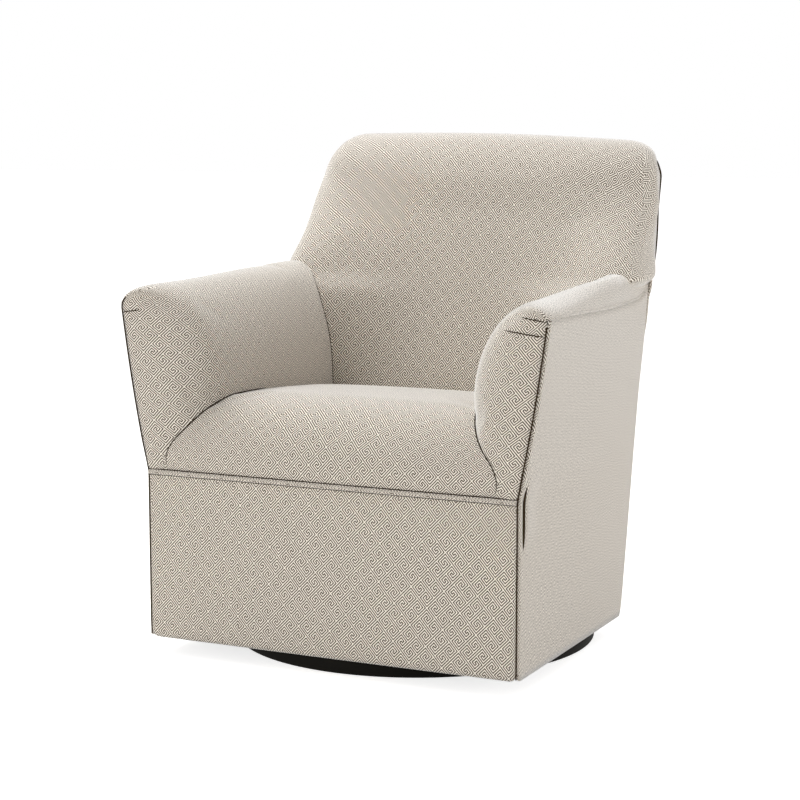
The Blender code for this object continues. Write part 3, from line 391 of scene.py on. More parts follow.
def key_weave(name):
    """Cream and taupe jacquard with a Greek key on the bias."""
    made, tree = new_material(name)
    math, vector = "ShaderNodeMath", "ShaderNodeVectorMath"
    place = add(tree, "ShaderNodeUVMap", uv_map="weave").outputs["UV"]
    on_bias = add(tree, "ShaderNodeMapping", {"Vector": place, "Rotation": (0, 0, BIAS),
                  "Scale": (sqrt(2) / REPEAT_ACROSS, sqrt(2) / REPEAT_UP, 1)}).outputs["Vector"]
    block = add(tree, vector, {0: on_bias}, operation="FLOOR").outputs[0]
    count = add(tree, vector, {0: block, 1: (1, 1, 0)}, operation="DOT_PRODUCT").outputs["Value"]
    turned = add(tree, math, {0: count, 1: 2.0}, operation="FLOORED_MODULO").outputs[0]
    spot = add(tree, vector, {0: on_bias}, operation="FRACTION").outputs[0]
    split = add(tree, "ShaderNodeSeparateXYZ", {0: spot}).outputs
    swapped = add(tree, "ShaderNodeCombineXYZ", {"X": split["Y"], "Y": split["X"]}).outputs[0]
    local = add(tree, "ShaderNodeMix", {0: turned, 4: spot, 5: swapped}, data_type="VECTOR").outputs[1]
    # Fold the block about its middles, and count in lines from the heart of one spiral.
    local = add(tree, vector, {0: local, 1: (0.5, 0.5, 0)}, operation="SUBTRACT").outputs[0]
    local = add(tree, vector, {0: local}, operation="ABSOLUTE").outputs[0]
    local = add(tree, vector, {0: local, 1: (-LINES, -LINES, 0), 2: HEART}, operation="MULTIPLY_ADD")
    heart = add(tree, "ShaderNodeSeparateXYZ", {0: local.outputs[0]}).outputs
    far = add(tree, math, {0: heart["Y"], 1: 0.0}, operation="GREATER_THAN").outputs[0]
    x = add(tree, math, {0: heart["X"], 1: 0.5}, operation="ADD").outputs[0]
    x = add(tree, math, {0: x, 1: far}, operation="SUBTRACT").outputs[0]
    x = add(tree, math, {0: x}, operation="ABSOLUTE").outputs[0]
    y = add(tree, math, {0: heart["Y"]}, operation="ABSOLUTE").outputs[0]
    ring = add(tree, math, {0: x, 1: y}, operation="MAXIMUM").outputs[0]
    line = add(tree, math, {0: ring}, operation="FRACT").outputs[0]
    line = add(tree, math, {0: line, 1: 0.5}, operation="SUBTRACT").outputs[0]
    line = add(tree, math, {0: line}, operation="ABSOLUTE").outputs[0]
    dark = add(tree, math, {0: line, 1: DARK_SHARE}, operation="LESS_THAN").outputs[0]
    # Thick and thin places run along the yarns, in the warp and in the weft. Real ones are finer: these are
    # drawn 1.6 mm wide and 8 mm long so that they show.
    noises = []
    for wide, long in ((SLUB_WIDE, SLUB_LONG), (SLUB_LONG, SLUB_WIDE)):
        scale = (1 / wide, 1 / long, 1)
        yarns = add(tree, "ShaderNodeMapping", {"Vector": place, "Scale": scale}).outputs[0]
        noise = add(tree, "ShaderNodeTexNoise", {"Vector": yarns, "Scale": 1.0, "Detail": 1.0})
        noises.append(noise.outputs[0])
    slubs = add(tree, math, {0: noises[0], 1: noises[1]}, operation="ADD").outputs[0]
    shade = add(tree, math, {0: slubs, 1: SLUB_SHADE, 2: 1 - SLUB_SHADE}, operation="MULTIPLY_ADD")
    yarn = add(tree, "ShaderNodeMix", {0: dark, 6: colour(CREAM), 7: colour(TAUPE)}, data_type="RGBA")
    yarn = add(tree, vector, {0: yarn.outputs[2], "Scale": shade.outputs[0]}, operation="SCALE").outputs[0]
    # Cream yarn floats above the ground, so its lines stand up by a fraction of a millimetre.
    rise = add(tree, math, {0: slubs, 1: SLUB_RISE, 2: line}, operation="MULTIPLY_ADD").outputs[0]
    relief = add(tree, "ShaderNodeBump", {"Height": rise, "Strength": 0.06, "Distance": YARN_RISE})
    face = add(tree, "ShaderNodeBsdfPrincipled", {"Base Color": yarn, "Roughness": 0.92,
               "Normal": relief.outputs[0], "Specular IOR Level": 0.2, "Sheen Weight": 1.0,
               "Sheen Roughness": 0.40})
    add(tree, "ShaderNodeOutputMaterial", {"Surface": face.outputs[0]})
    return made


cloth_finish = key_weave("key_weave_jacquard")
print("key weave: repeat of", REPEAT_ACROSS, "by", REPEAT_UP, "m")

# %% [markdown]
# ### Painted seam shade
#
# Where two covers are sewn together the cloth dips into a narrow furrow, which lies in shade and shows as a
# thin dark line. That shade is painted: a thin dark brown cord lies in the furrow. It is matt, and a mottled
# tint and a little relief give it a faint ribbing. It could be two plies wound round each other, but at this
# size a mottled tint and a little relief look the same.

# %% Painted seam shade
SHADE_CORD_DARK, SHADE_CORD_LIGHT = "#1f170f", "#463827"
MOTTLE_SIZE = 0.002


def shade_cord_material(name):
    """Painted seam shade: a matt dark brown cord. Its mottle is drawn 2 mm long, so that it shows."""
    made, tree = new_material(name)
    place = add(tree, "ShaderNodeUVMap", uv_map="weave").outputs["UV"]
    mottle_noise = add(tree, "ShaderNodeTexNoise", {"Vector": place, "Scale": 1 / MOTTLE_SIZE, "Detail": 1.0}).outputs[0]
    tint = add(tree, "ShaderNodeMix", {0: mottle_noise, 6: colour(SHADE_CORD_DARK), 7: colour(SHADE_CORD_LIGHT)},
               data_type="RGBA").outputs[2]
    relief = add(tree, "ShaderNodeBump", {"Height": mottle_noise, "Strength": 0.3, "Distance": YARN_RISE})
    face = add(tree, "ShaderNodeBsdfPrincipled", {"Base Color": tint, "Roughness": 0.9,
               "Specular IOR Level": 0.1, "Normal": relief.outputs[0]})
    add(tree, "ShaderNodeOutputMaterial", {"Surface": face.outputs[0]})
    return made


# Every dark cord laid in the seams below wears this painted shade.
seam_shade_finish = shade_cord_material("painted_seam_shadow")
print("thread: twist of", MOTTLE_SIZE, "m")

# %% [markdown]
# ## Arms
#
# An arm pad starts at the flaring front edge of the outside arm, swells inwards to a full round nose, and
# runs back under the wing of the back. It could be a box with rounded edges, but the nose turns in two
# directions at once. So a section is drawn first, a low crown over the arm rail and a long face down to the
# seat, and the nose is a quarter turn that draws every point of that section out to the front edge.

# %% Arm section
CROWN = {"left": 0.023, "right": 0.029}
REAR_RISE, RISE_RUN = 0.016, 0.45
REAR_FALL, FALL_FROM, FALL_RUN = 0.030, 0.130, 0.130
CROWN_INSET, REAR_INSET = 0.034, 0.008
SHOULDER_Z = 0.450
ARM_INNER = 0.229
ARM_FOOT = WELT_Z + 0.003
OUTER_POINTS, INNER_POINTS, WALL_POINTS = 8, 18, 12


def arm_top(y, name):
    rise = REAR_RISE * ease((y - FRONT_Y) / RISE_RUN)
    return ARM_EDGE_Z + CROWN[name] + rise - REAR_FALL * clamp((y - FALL_FROM) / FALL_RUN) ** 2


def arm_section(y, name):
    """Points (x, z) from the outer edge over the crown and down the inner face."""
    edge_z, top = arm_edge(y), arm_top(y, name)
    edge = side_x(y, edge_z)
    crown_x = edge - mix(CROWN_INSET, REAR_INSET, ease((y - FRONT_Y) / RISE_RUN))
    points = []
    for i in range(OUTER_POINTS):
        turn = pi / 2 * i / OUTER_POINTS
        points.append((mix(crown_x, edge, cos(turn)), mix(edge_z, top, sin(turn))))
    for i in range(INNER_POINTS + 1):
        turn = pi / 2 * i / INNER_POINTS
        points.append((mix(crown_x, ARM_INNER, sin(turn)), mix(SHOULDER_Z, top, cos(turn))))
    for i in range(1, WALL_POINTS + 1):
        points.append((ARM_INNER, mix(SHOULDER_Z, ARM_FOOT, i / WALL_POINTS)))
    return points


print("arm tops", [round(arm_top(FRONT_Y, name), 3) for name in CROWN], "m high at the front")

# %% Arm nose and rows
NOSE_LENGTH, NOSE_POWER = 0.080, 2.5
NOSE_TOP = ARM_EDGE_Z + 0.012
NOSE_ROUND = 0.022
NOSE_ROWS, ARM_ROWS = 18, 44


def nose_row(y, spread, name):
    """The section at y, drawn towards the arm's front edge. At spread 0 it lies on that edge."""
    section = arm_section(y, name)
    edge_z, top = section[0][1], section[OUTER_POINTS][1]
    drawn = []
    for i, (x, z) in enumerate(section):
        low, tip_low = (edge_z, ARM_EDGE_Z) if i < OUTER_POINTS else (WELT_Z, WELT_Z)
        tip_z = mix(tip_low, NOSE_TOP, (z - low) / (top - low))
        corner = rounding(tip_z - NOSE_TOP + NOSE_ROUND, NOSE_ROUND)
        tip_x = side_x(NOSE_Y, tip_z) - FRONT_ROUND - corner
        drawn.append((mix(tip_x, x, spread), mix(tip_z, z, spread)))
    return drawn


def arm_rows(name):
    """The whole arm from nose to rear, as on the left side."""
    rows = []
    start = NOSE_Y + NOSE_LENGTH
    for i in range(NOSE_ROWS):
        turn = pi / 2 * i / NOSE_ROWS
        y = NOSE_Y + NOSE_LENGTH * (1 - cos(turn) ** (2 / NOSE_POWER))
        spread = sin(turn) ** (2 / NOSE_POWER)
        rows.append([Vector((x, y, z)) for x, z in nose_row(y, spread, name)])
    for i in range(ARM_ROWS + 1):
        share = i / ARM_ROWS
        section = arm_section(mix(start, rear_y(ARM_EDGE_Z), share), name)
        row = []
        for x, z in section:
            y = mix(start, rear_y(z) - BOARD, share)
            row.append(Vector((min(x, side_x(y, z)), y, z)))
        rows.append(row)
    return rows


print("arm of", NOSE_ROWS, "rows round the nose and", ARM_ROWS, "behind it")

# %% Arm covers
ARM_PRESSURE, ARM_SWELL = 3.0, 0.008
SIDES = ((1, "left"), (-1, "right"))
DART_POINTS = 2
CAP_POINTS = OUTER_POINTS + DART_POINTS

arm_grids = {}
for side, name in SIDES:
    rows = []
    for row in arm_rows(name):
        rows.append([Vector((point.x * side, point.y, point.z)) for point in row[::-side]])
    last = len(rows[0]) - 1
    foot = last if side < 0 else 0
    # The cloth over the top of the nose is cut apart, so that its weave lies straight across the front.
    over = range(CAP_POINTS) if side < 0 else range(last - CAP_POINTS, last + 1)
    cap = {"row": NOSE_ROWS, "columns": over, "joined": True,
           "place": lambda point: (point.x, point.y + point.z)}
    cover = cut_cloth(f"{name}_arm_cover", rows, 0, foot, apart=cap)
    moved = swell(cover, rim(rows), ARM_PRESSURE, ARM_SWELL)
    arm_grids[name] = laid(cover, rows)
    faces = finish_cover(cover)
    cover.data.materials.append(cloth_finish)
    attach(cover, "seat")
    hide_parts(f"{name}_arm_pad")
    print(cover.name, faces, "triangles, swelled by", round(moved * 1000, 1), "mm")

# %% [markdown]
# ## Seat
#
# A tight seat: one crowned pad whose front rolls over the rail and is sewn under the border welt. Its sides
# are pulled down between seat and arms. A loose cushion would be a closed bag. This one shows only its top
# and its roll, so one sheet is enough. Its half width is worked out from the arm's own surface at each
# place, and it dips as it meets the arm, which gives the soft crease of the real one.

# %% Seat shape
_, seat_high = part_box("seat_cushion")
SEAT_Z = seat_high.z
SEAT_LOW = 0.008
SEAT_CROWN, SEAT_CORNER = 0.003, 0.002
SEAT_FALL = 0.040
SEAT_ROLL, SEAT_BULGE = 0.105, 0.010
WELT_RADIUS = 0.004
SEAT_TUCK = 0.012
SEAT_DIP, DIP_RUN = 0.006, 3 * SEAT_TUCK
BACK_PAD, PAD_REAR = 0.070, 0.0467
SEAT_UNDER_BACK = BACK_PAD / 4
SEAT_COLUMNS, ROLL_ROWS, SEAT_ROWS = 60, 26, 44


def arm_inner(y, z):
    """Half width between the arms at this place."""
    if y <= NOSE_Y:
        return side_x(NOSE_Y, z) - FRONT_ROUND
    spread = (1 - clamp(1 - (y - NOSE_Y) / NOSE_LENGTH) ** NOSE_POWER) ** (1 / NOSE_POWER)
    inner = nose_row(y, spread, "right")[OUTER_POINTS:]
    for (x1, z1), (x2, z2) in zip(inner, inner[1:]):
        if z2 <= z <= z1:
            return mix(x1, x2, (z1 - z) / max(z1 - z2, TINY))
    return inner[-1][0]


def seat_profile(x):
    """Points (y, z) from the welt over the front roll and back under the back pad."""
    top = SEAT_Z - SEAT_LOW - SEAT_CROWN * min(1.0, abs(x) / ARM_INNER) ** 2
    back = SEAT_CORNER * min(1.0, abs(x) / SKIRT_HALF) ** 4
    edge = WELT_Z + WELT_RADIUS / 2
    rear = rear_y(WELT_Z) - PAD_REAR - SEAT_UNDER_BACK
    points = []
    for i in range(ROLL_ROWS):
        turn = pi / 2 * i / ROLL_ROWS
        y = FRONT_Y + back + SEAT_ROLL * (1 - cos(turn)) - SEAT_BULGE * sin(2 * turn)
        points.append((y, mix(edge, top, sin(turn))))
    for i in range(SEAT_ROWS + 1):
        share = i / SEAT_ROWS
        points.append((mix(FRONT_Y + SEAT_ROLL, rear, share), top - SEAT_FALL * share**2))
    return points


print("seat", round(SEAT_Z - SEAT_LOW, 3), "m high")

# %% Seat cover
SEAT_PRESSURE, SEAT_SWELL = 3.0, 0.003
SEAT_CROWD = 0.6

seat_rows = [[] for _ in range(ROLL_ROWS + SEAT_ROWS + 1)]
for column in range(SEAT_COLUMNS + 1):
    share = mix(-1.0, 1.0, column / SEAT_COLUMNS)
    crowded = mix(share, sin(share * pi / 2), SEAT_CROWD)
    for row, (y, z) in enumerate(seat_profile(0.0)):
        half = arm_inner(y, z) + SEAT_TUCK
        x = half * crowded
        y, z = seat_profile(x)[row]
        dip = SEAT_DIP * clamp((abs(x) - half + DIP_RUN) / DIP_RUN) ** 2 * ease(row / ROLL_ROWS)
        seat_rows[row].append(Vector((x, y, z - dip)))
seat_cover = cut_cloth("seat_cover", seat_rows, 0, SEAT_COLUMNS // 2)
moved = swell(seat_cover, rim(seat_rows), SEAT_PRESSURE, SEAT_SWELL)
seat_points, _ = laid(seat_cover, seat_rows)
faces = finish_cover(seat_cover)
seat_cover.data.materials.append(cloth_finish)
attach(seat_cover, "seat")
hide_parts("seat_cushion")
print("seat cover", faces, "triangles, swelled by", round(moved * 1000, 1), "mm")

# %% [markdown]
# ## Inside back
#
# The inside back is one pad that sweeps forward at its sides into two wings and meets the arms there. It
# could be sewn from a front and two boxed sides, but the real cover runs round without a break. So each
# level is one row of points: nearly flat in the middle, out along the wings and round to the rear edge. The
# top rows roll over to the welt of the outside back.

# %% Back depth and corners
LUMBAR, LUMBAR_Z = 0.012, 0.520
WING, WING_Z, WING_SPAN = 0.135, 0.590, 0.210
WING_EDGE, WING_CURVE, WING_ROLL = 0.15, 3, 8
BOXING = 0.018
HIP, HIP_Z, HIP_SPAN = 0.005, 0.640, 0.100
BACK_ROLL = 0.075
ROLL_START = TOP_Z - BACK_ROLL
CORNER_WIDE, CORNER_FALL = 0.046, 0.025
DECK_Z = 0.2975


def back_depth(share, z):
    """How far the pad stands in front of its own rear, from the middle (0) to a side (1)."""
    below = ease((z - DECK_Z) / (WING_Z - DECK_Z))
    above = 1 - ease((z - WING_Z) / WING_SPAN)
    wing = WING * min(below, above)
    belly = LUMBAR * max(0.0, 1 - ((z - LUMBAR_Z) / WING_SPAN) ** 2)
    edge = BOXING + wing * WING_EDGE
    full = BACK_PAD + belly * (1 - share**2) + wing * abs(share) ** WING_CURVE
    return edge + (full - edge) * sqrt(max(0.0, 1 - abs(share) ** WING_ROLL))


def back_half(z):
    """Half width of the back at its rear edge, a little wider just above the arms."""
    return BACK_HALF + HIP * max(0.0, 1 - ((z - HIP_Z) / HIP_SPAN) ** 2)


def corner_fall(share, z):
    """How far the top of the back falls away at its rounded corners."""
    wide = CORNER_WIDE / BACK_HALF
    return rounding(abs(share) - 1 + wide, wide) / wide * CORNER_FALL * ease((z - ROLL_START) / BACK_ROLL)


print("back pad", round(back_depth(0.0, LUMBAR_Z), 3), "m deep behind the sitter's waist")

# %% Back rows
BACK_FLARE, FLARE_FROM, FLARE_RUN = 0.0245, 0.590, 0.030
FOOT_FLARE, FOOT_FROM, FOOT_RUN = 0.014, 0.610, 0.080
TOP_NARROW, NARROW_FROM, NARROW_RUN = 0.009, 0.740, 0.070
POST_WIDTH, POST_FROM, POST_RUN = 0.030, 0.575, 0.030
REAR_DROP, REAR_SPARE = 0.006, 0.004
CREST_RISE = 0.006
CORNER = 0.016
TOP_ARCH, TOP_TILT = 0.0083, 0.0065
BACK_FOOT = 0.36
COLUMN_SPREAD = 0.75
BACK_COLUMNS, SIDE_COLUMNS = 52, 9
BACK_ROWS, TOP_ROWS = 56, 24
ROLL_PAST = 0.5
ROLL_END = acos(-ROLL_PAST)


def back_row(z, rear_z, drawn_in, depth_share):
    """One level of the back, from the rear edge on one side round the front to the other."""
    posts = POST_WIDTH * (1 - ease((z - POST_FROM) / POST_RUN))
    rear_half = back_half(rear_z) - posts - drawn_in
    flare = BACK_FLARE + FOOT_FLARE * (1 - ease((z - FOOT_FROM) / FOOT_RUN))
    flare -= TOP_NARROW * ease((z - NARROW_FROM) / NARROW_RUN)
    front_half = BACK_HALF - posts - drawn_in + flare * ease((z - FLARE_FROM) / FLARE_RUN) * depth_share
    front_half -= REAR_SPARE * (1 - depth_share)
    fade = ease((z - WING_Z) / (TOP_Z - WING_Z))
    front = []
    for column in range(BACK_COLUMNS + 1):
        turn = mix(-pi / 2, pi / 2, column / BACK_COLUMNS)
        share = abs(sin(turn)) ** COLUMN_SPREAD * (1 if turn > 0 else -1)
        low = z - (TOP_ARCH * share**2 + TOP_TILT * share) * fade - corner_fall(share, z)
        depth = (PAD_REAR + back_depth(share, z)) * depth_share
        front.append(Vector((front_half * share, rear_y(low) - BOARD - depth, low)))
    row = []
    for side, corner in ((-1, front[0]), (1, front[-1])):
        low = rear_z - (TOP_ARCH + TOP_TILT * side) * fade - corner_fall(side, rear_z)
        rear = Vector((rear_half * side, rear_y(low) - BOARD, low))
        wall = [rear.lerp(corner, i / SIDE_COLUMNS) for i in range(SIDE_COLUMNS)]
        row = wall + front if side < 0 else row + wall[::-1]
    return row


back_rows = []
for i in range(BACK_ROWS):
    z = mix(BACK_FOOT, ROLL_START, i / BACK_ROWS)
    back_rows.append(back_row(z, z, 0.0, 1.0))
for i in range(TOP_ROWS + 1):
    turn, corner = ROLL_END * i / TOP_ROWS, pi / 2 * i / TOP_ROWS
    rear_z = ROLL_START + (BACK_ROLL - REAR_DROP) * sin(corner)
    crest = BACK_ROLL + mix(CREST_RISE, 0.0, i / TOP_ROWS)
    top_z = max(ROLL_START + crest * sin(turn), rear_z if turn > pi / 2 else 0.0)
    depth_share = (cos(turn) + ROLL_PAST) / (1 + ROLL_PAST)
    back_rows.append(back_row(top_z, rear_z, CORNER * (1 - cos(corner)), depth_share))
back_rows.append([Vector((p.x, rear_y(p.z) - COVER / 2, p.z)) for p in back_rows[-1]])
print("back of", len(back_rows), "rows and", len(back_rows[0]), "columns")

# %% Inside back cover
BACK_PRESSURE, BACK_SWELL = 0.4, 0.003
WING_COLUMNS = 6

wide = len(back_rows[0]) - 1
band = SIDE_COLUMNS + WING_COLUMNS
# On the sides of the wings the weave is laid flat, as seen from the side.
flanks = {"row": len(back_rows) - 1, "columns": [*range(band), *range(wide - band, wide)],
          "joined": False, "place": lambda point: (point.y, point.z - abs(point.x))}
back_cover = cut_cloth("inside_back_cover", back_rows, 0, wide // 2, apart=flanks)
moved = swell(back_cover, rim(back_rows), BACK_PRESSURE, BACK_SWELL)
back_points, back_normals = laid(back_cover, back_rows)
faces = finish_cover(back_cover)
back_cover.data.materials.append(cloth_finish)
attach(back_cover, "seat")
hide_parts("back_pad")
print("inside back cover", faces, "triangles, swelled by", round(moved * 1000, 1), "mm")

# %% [markdown]
# ## Top board
#
# The board across the top of the back lies where the padding is thin. A new box could stand for it, but a
# copy of its solid, drawn in at the ends and the top, keeps its rake. It is made so much slimmer that no
# corner of it presses through the cover.

# %% Top board
BOARD_WIDTH, BOARD_RISE = 0.88, 0.80
MERGE_GAP = 0.00001
solid = frame["nodes"]["back_top_rail"]
board_mesh = solid.data.copy()
board_mesh.transform(solid.matrix_world)
merged = bmesh.new()
merged.from_mesh(board_mesh)
bmesh.ops.remove_doubles(merged, verts=merged.verts, dist=MERGE_GAP)
merged.to_mesh(board_mesh)
merged.free()
board_foot = min(point.co.z for point in board_mesh.vertices)
for point in board_mesh.vertices:
    rise = (point.co.z - board_foot) * (BOARD_RISE - 1)
    point.co += Vector((point.co.x * (BOARD_WIDTH - 1), rise * tan(LEAN), rise))
top_board = bpy.data.objects.new("back_top_board", board_mesh)
scene.collection.objects.link(top_board)
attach(top_board, "seat")
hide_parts("back_top_rail")
print("top board", len(board_mesh.polygons), "faces")

# %% [markdown]
# ## Outside panels
#
# The front border, the outside arms and the outside back are cover stretched over card. Each could be a
# flat board, but flat boards look hard. So each gets a little fullness from the wadding behind it, its lower
# corners are rounded, and its lower edge turns under the frame.

# %% Panel maker
PANEL_FULLNESS = 0.002
HEM_TURN, HEM_ROWS = 0.0015, 2
HEM_ROUND = 0.012
PANEL_COLUMNS, PANEL_ROWS = 56, 40
PANEL_CROWD = 0.8


def fullness(a, b):
    return PANEL_FULLNESS * sqrt(max(0.0, (1 - (2 * a - 1) ** 4) * (1 - (2 * b - 1) ** 4)))


def hem(a, length):
    """Height of the lower edge: straight, with rounded corners."""
    return HEM_Z + rounding(HEM_ROUND - min(a, 1 - a) * length, HEM_ROUND)


def panel(name, node, point, outward, lay=(0.0, 0.0, 0.0)):
    """A stretched panel: point(a, b) runs across and up it, and outward is its facing."""
    rows = []
    for r in range(PANEL_ROWS + 1):
        b = r / PANEL_ROWS
        turn_in = HEM_TURN * max(0.0, 1 - b * PANEL_ROWS / HEM_ROWS) ** 2
        row = []
        for c in range(PANEL_COLUMNS + 1):
            a = mix(c / PANEL_COLUMNS, 0.5 - 0.5 * cos(pi * c / PANEL_COLUMNS), PANEL_CROWD)
            row.append(point(a, b) + outward * (fullness(a, b) - turn_in))
        rows.append(row)
    made = cut_cloth(name, rows, PANEL_ROWS, PANEL_COLUMNS // 2, lay)
    faces = finish_cover(made, 0)
    made.data.materials.append(cloth_finish)
    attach(made, "seat")
    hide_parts(node)


# %% Panel shapes
LIP, LIP_Y, LIP_Z, LIP_RUN = 0.0035, FRONT_Y + 0.016, 0.295, 0.060
LIP_LEAD = 0.002
REAR_LESS, REAR_LESS_RUN = 0.003, 0.040


def border_point(a, b):
    half = SKIRT_HALF - FRONT_ROUND
    return Vector((mix(-half, half, a), FRONT_Y, mix(hem(a, 2 * half), WELT_Z, b)))


def left_point(a, b):
    """The outside arm, with a small lip behind its front edge where the panel stands off the frame."""
    top = arm_edge(mix(FRONT_Y, rear_y(ARM_EDGE_Z), a))
    z = mix(hem(a, rear_y(HEM_Z) - FRONT_Y), top, b)
    y = mix(FRONT_Y, rear_y(z), a)
    behind = (1 - ease((y - LIP_Y) / LIP_RUN)) * (y > LIP_Y - LIP_LEAD)
    lip = LIP * max(0.0, 1 - ((z - LIP_Z) / LIP_RUN) ** 2) * behind
    return Vector((side_x(y, z) + lip - rounding(FRONT_Y + FRONT_ROUND - y, FRONT_ROUND), y, z))


def right_point(a, b):
    point = left_point(1 - a, b)
    return Vector((-point.x, point.y, point.z))


def rear_outline(z):
    """Half width of the outside back, rounded at its top corners."""
    if z <= ARM_EDGE_Z:
        return side_x(rear_y(z), z)
    inset = REAR_LESS * ease((z - ARM_EDGE_Z) / REAR_LESS_RUN)
    if z <= ROLL_START:
        return back_half(z) - inset
    turn = asin(clamp((z - ROLL_START) / (BACK_ROLL - REAR_DROP)))
    return BACK_HALF - CORNER * (1 - cos(turn)) - inset


def rear_point(a, b):
    crest = TOP_Z - REAR_DROP
    share = mix(1.0, -1.0, a)
    z = mix(hem(a, 2 * SKIRT_HALF), crest, b)
    x = rear_outline(z) * share
    fade = ease((z - WING_Z) / (crest - WING_Z))
    z -= (TOP_ARCH * share**2 + TOP_TILT * share) * fade + corner_fall(share, z)
    return Vector((x, rear_y(z), z))


print("outside back", round(2 * rear_outline(ROLL_START), 3), "m wide near its top")

# %% Panels
BORDER_LAY = (-0.0131, -0.0179, radians(2))
panel("front_border_cover", "front_border", border_point, Vector((0, -1, 0)),
      BORDER_LAY)
panel("left_outside_cover", "left_outside_arm", left_point, Vector((1, 0, 0)))
panel("right_outside_cover", "right_outside_arm", right_point, Vector((-1, 0, 0)))
panel("outside_back_cover", "outside_back", rear_point, Vector((0, cos(LEAN), -sin(LEAN))))

# %% [markdown]
# ## Welts
#
# A welt is a cord wrapped in a bias strip of the same cloth and sewn into a seam. A curve with a bevel
# could make one. Instead one Geometry Nodes tree makes them all, because it can also give every point its
# place on the strip in metres: the path becomes a curve, and a round section is swept along it.

# %% Welt tree
WELT_SPACING = 0.006
WELT_SIDES = 10
END_POWER = 4.0


def welt_tree():
    """Sweeps a round section along a path. The ends narrow by the taper: at 1 they run out to a point."""
    tree = bpy.data.node_groups.new("welt_cord", "GeometryNodeTree")
    math, store = "ShaderNodeMath", "GeometryNodeStoreNamedAttribute"
    tree.interface.new_socket("Path", in_out="INPUT", socket_type="NodeSocketGeometry")
    for label, value in (("Radius", WELT_RADIUS), ("Spacing", WELT_SPACING), ("Taper", 0.0)):
        socket = tree.interface.new_socket(label, in_out="INPUT", socket_type="NodeSocketFloat")
        socket.default_value = value
    tree.interface.new_socket("Finish", in_out="INPUT", socket_type="NodeSocketMaterial")
    tree.interface.new_socket("Welt", in_out="OUTPUT", socket_type="NodeSocketGeometry")
    given = add(tree, "NodeGroupInput").outputs
    curve = add(tree, "GeometryNodeMeshToCurve", {"Mesh": given["Path"]}).outputs[0]
    even = add(tree, "GeometryNodeResampleCurve", {"Curve": curve, "Length": given["Spacing"]},
               mode="LENGTH").outputs[0]
    along = add(tree, "GeometryNodeSplineParameter").outputs
    marked = add(tree, store, {"Geometry": even, "Name": "along", "Value": along["Length"]},
                 data_type="FLOAT", domain="POINT").outputs[0]
    place = add(tree, math, {0: along["Factor"], 1: 2.0, 2: -1.0}, operation="MULTIPLY_ADD").outputs[0]
    end = add(tree, math, {0: place, 1: END_POWER}, operation="POWER").outputs[0]
    less = add(tree, math, {0: end, 1: given["Taper"]}, operation="MULTIPLY").outputs[0]
    width = add(tree, math, {0: 1.0, 1: less}, operation="SUBTRACT").outputs[0]
    section = add(tree, "GeometryNodeCurvePrimitiveCircle",
                  {"Resolution": WELT_SIDES, "Radius": given["Radius"]}).outputs[0]
    around = add(tree, store, {"Geometry": section, "Name": "around", "Value": along["Length"]},
                 data_type="FLOAT", domain="POINT").outputs[0]
    swept = add(tree, "GeometryNodeCurveToMesh", {"Curve": marked, "Profile Curve": around, "Scale": width,
                "Fill Caps": True}).outputs[0]
    a = add(tree, "GeometryNodeInputNamedAttribute", {"Name": "around"}, data_type="FLOAT").outputs[0]
    b = add(tree, "GeometryNodeInputNamedAttribute", {"Name": "along"}, data_type="FLOAT").outputs[0]
    both = add(tree, "ShaderNodeCombineXYZ", {"X": a, "Y": b}).outputs[0]
    flat = add(tree, store, {"Geometry": swept, "Name": "weave", "Value": both},
               data_type="FLOAT2", domain="CORNER").outputs[0]
    soft = add(tree, "GeometryNodeSetShadeSmooth", {0: flat}).outputs[0]
    real = add(tree, "GeometryNodeRealizeInstances", {0: soft}).outputs[0]
    dressed = add(tree, "GeometryNodeSetMaterial", {0: real, "Material": given["Finish"]}).outputs[0]
    add(tree, "NodeGroupOutput", {0: dressed})
    return tree


welts = welt_tree()
print("welt tree of", len(welts.nodes), "nodes")


# %% A cord along a path
def follow(name, path, tree, values):
    """Runs a tree along a path of points and keeps the result as a plain mesh."""
    mesh = bpy.data.meshes.new(name)
    mesh.from_pydata([tuple(point) for point in path], [(i, i + 1) for i in range(len(path) - 1)], [])
    piece = bpy.data.objects.new(name, mesh)
    scene.collection.objects.link(piece)
    swept = piece.modifiers.new("follow", "NODES")
    swept.node_group = tree
    sockets = {item.name: item.identifier for item in tree.interface.items_tree if item.in_out == "INPUT"}
    for label, value in values.items():
        swept[sockets[label]] = value
    made = bpy.data.meshes.new_from_object(piece.evaluated_get(bpy.context.evaluated_depsgraph_get()))
    piece.modifiers.remove(swept)
    piece.data = made
    bpy.data.meshes.remove(mesh)
    made.name = name
    return piece


def lay_cord(name, path, radius, finish=cloth_finish, taper=0.0):
    values = {"Radius": radius, "Spacing": WELT_SPACING, "Taper": taper, "Finish": finish}
    piece = follow(name, path, welts, values)
    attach(piece, "seat")
    length = sum((b - a).length for a, b in zip(path, path[1:]))
    print(name, round(length, 3), "m,", len(piece.data.polygons), "faces")


print("cords have a section every", WELT_SPACING, "m")

# %% Welts along the seams
STEPS = 40
SEAM_RADIUS = 0.0009
BORDER_HALF = SKIRT_HALF - FRONT_ROUND - SEAM_RADIUS
BORDER_PROUD = 0.0018
ARM_WELT_RADIUS, ARM_WELT_INSET = 0.0028, 0.001
ARM_WELT_START, ARM_WELT_END = 0.030, 0.004
REAR_WELT_RADIUS, REAR_WELT_INSET = 0.003, 0.002

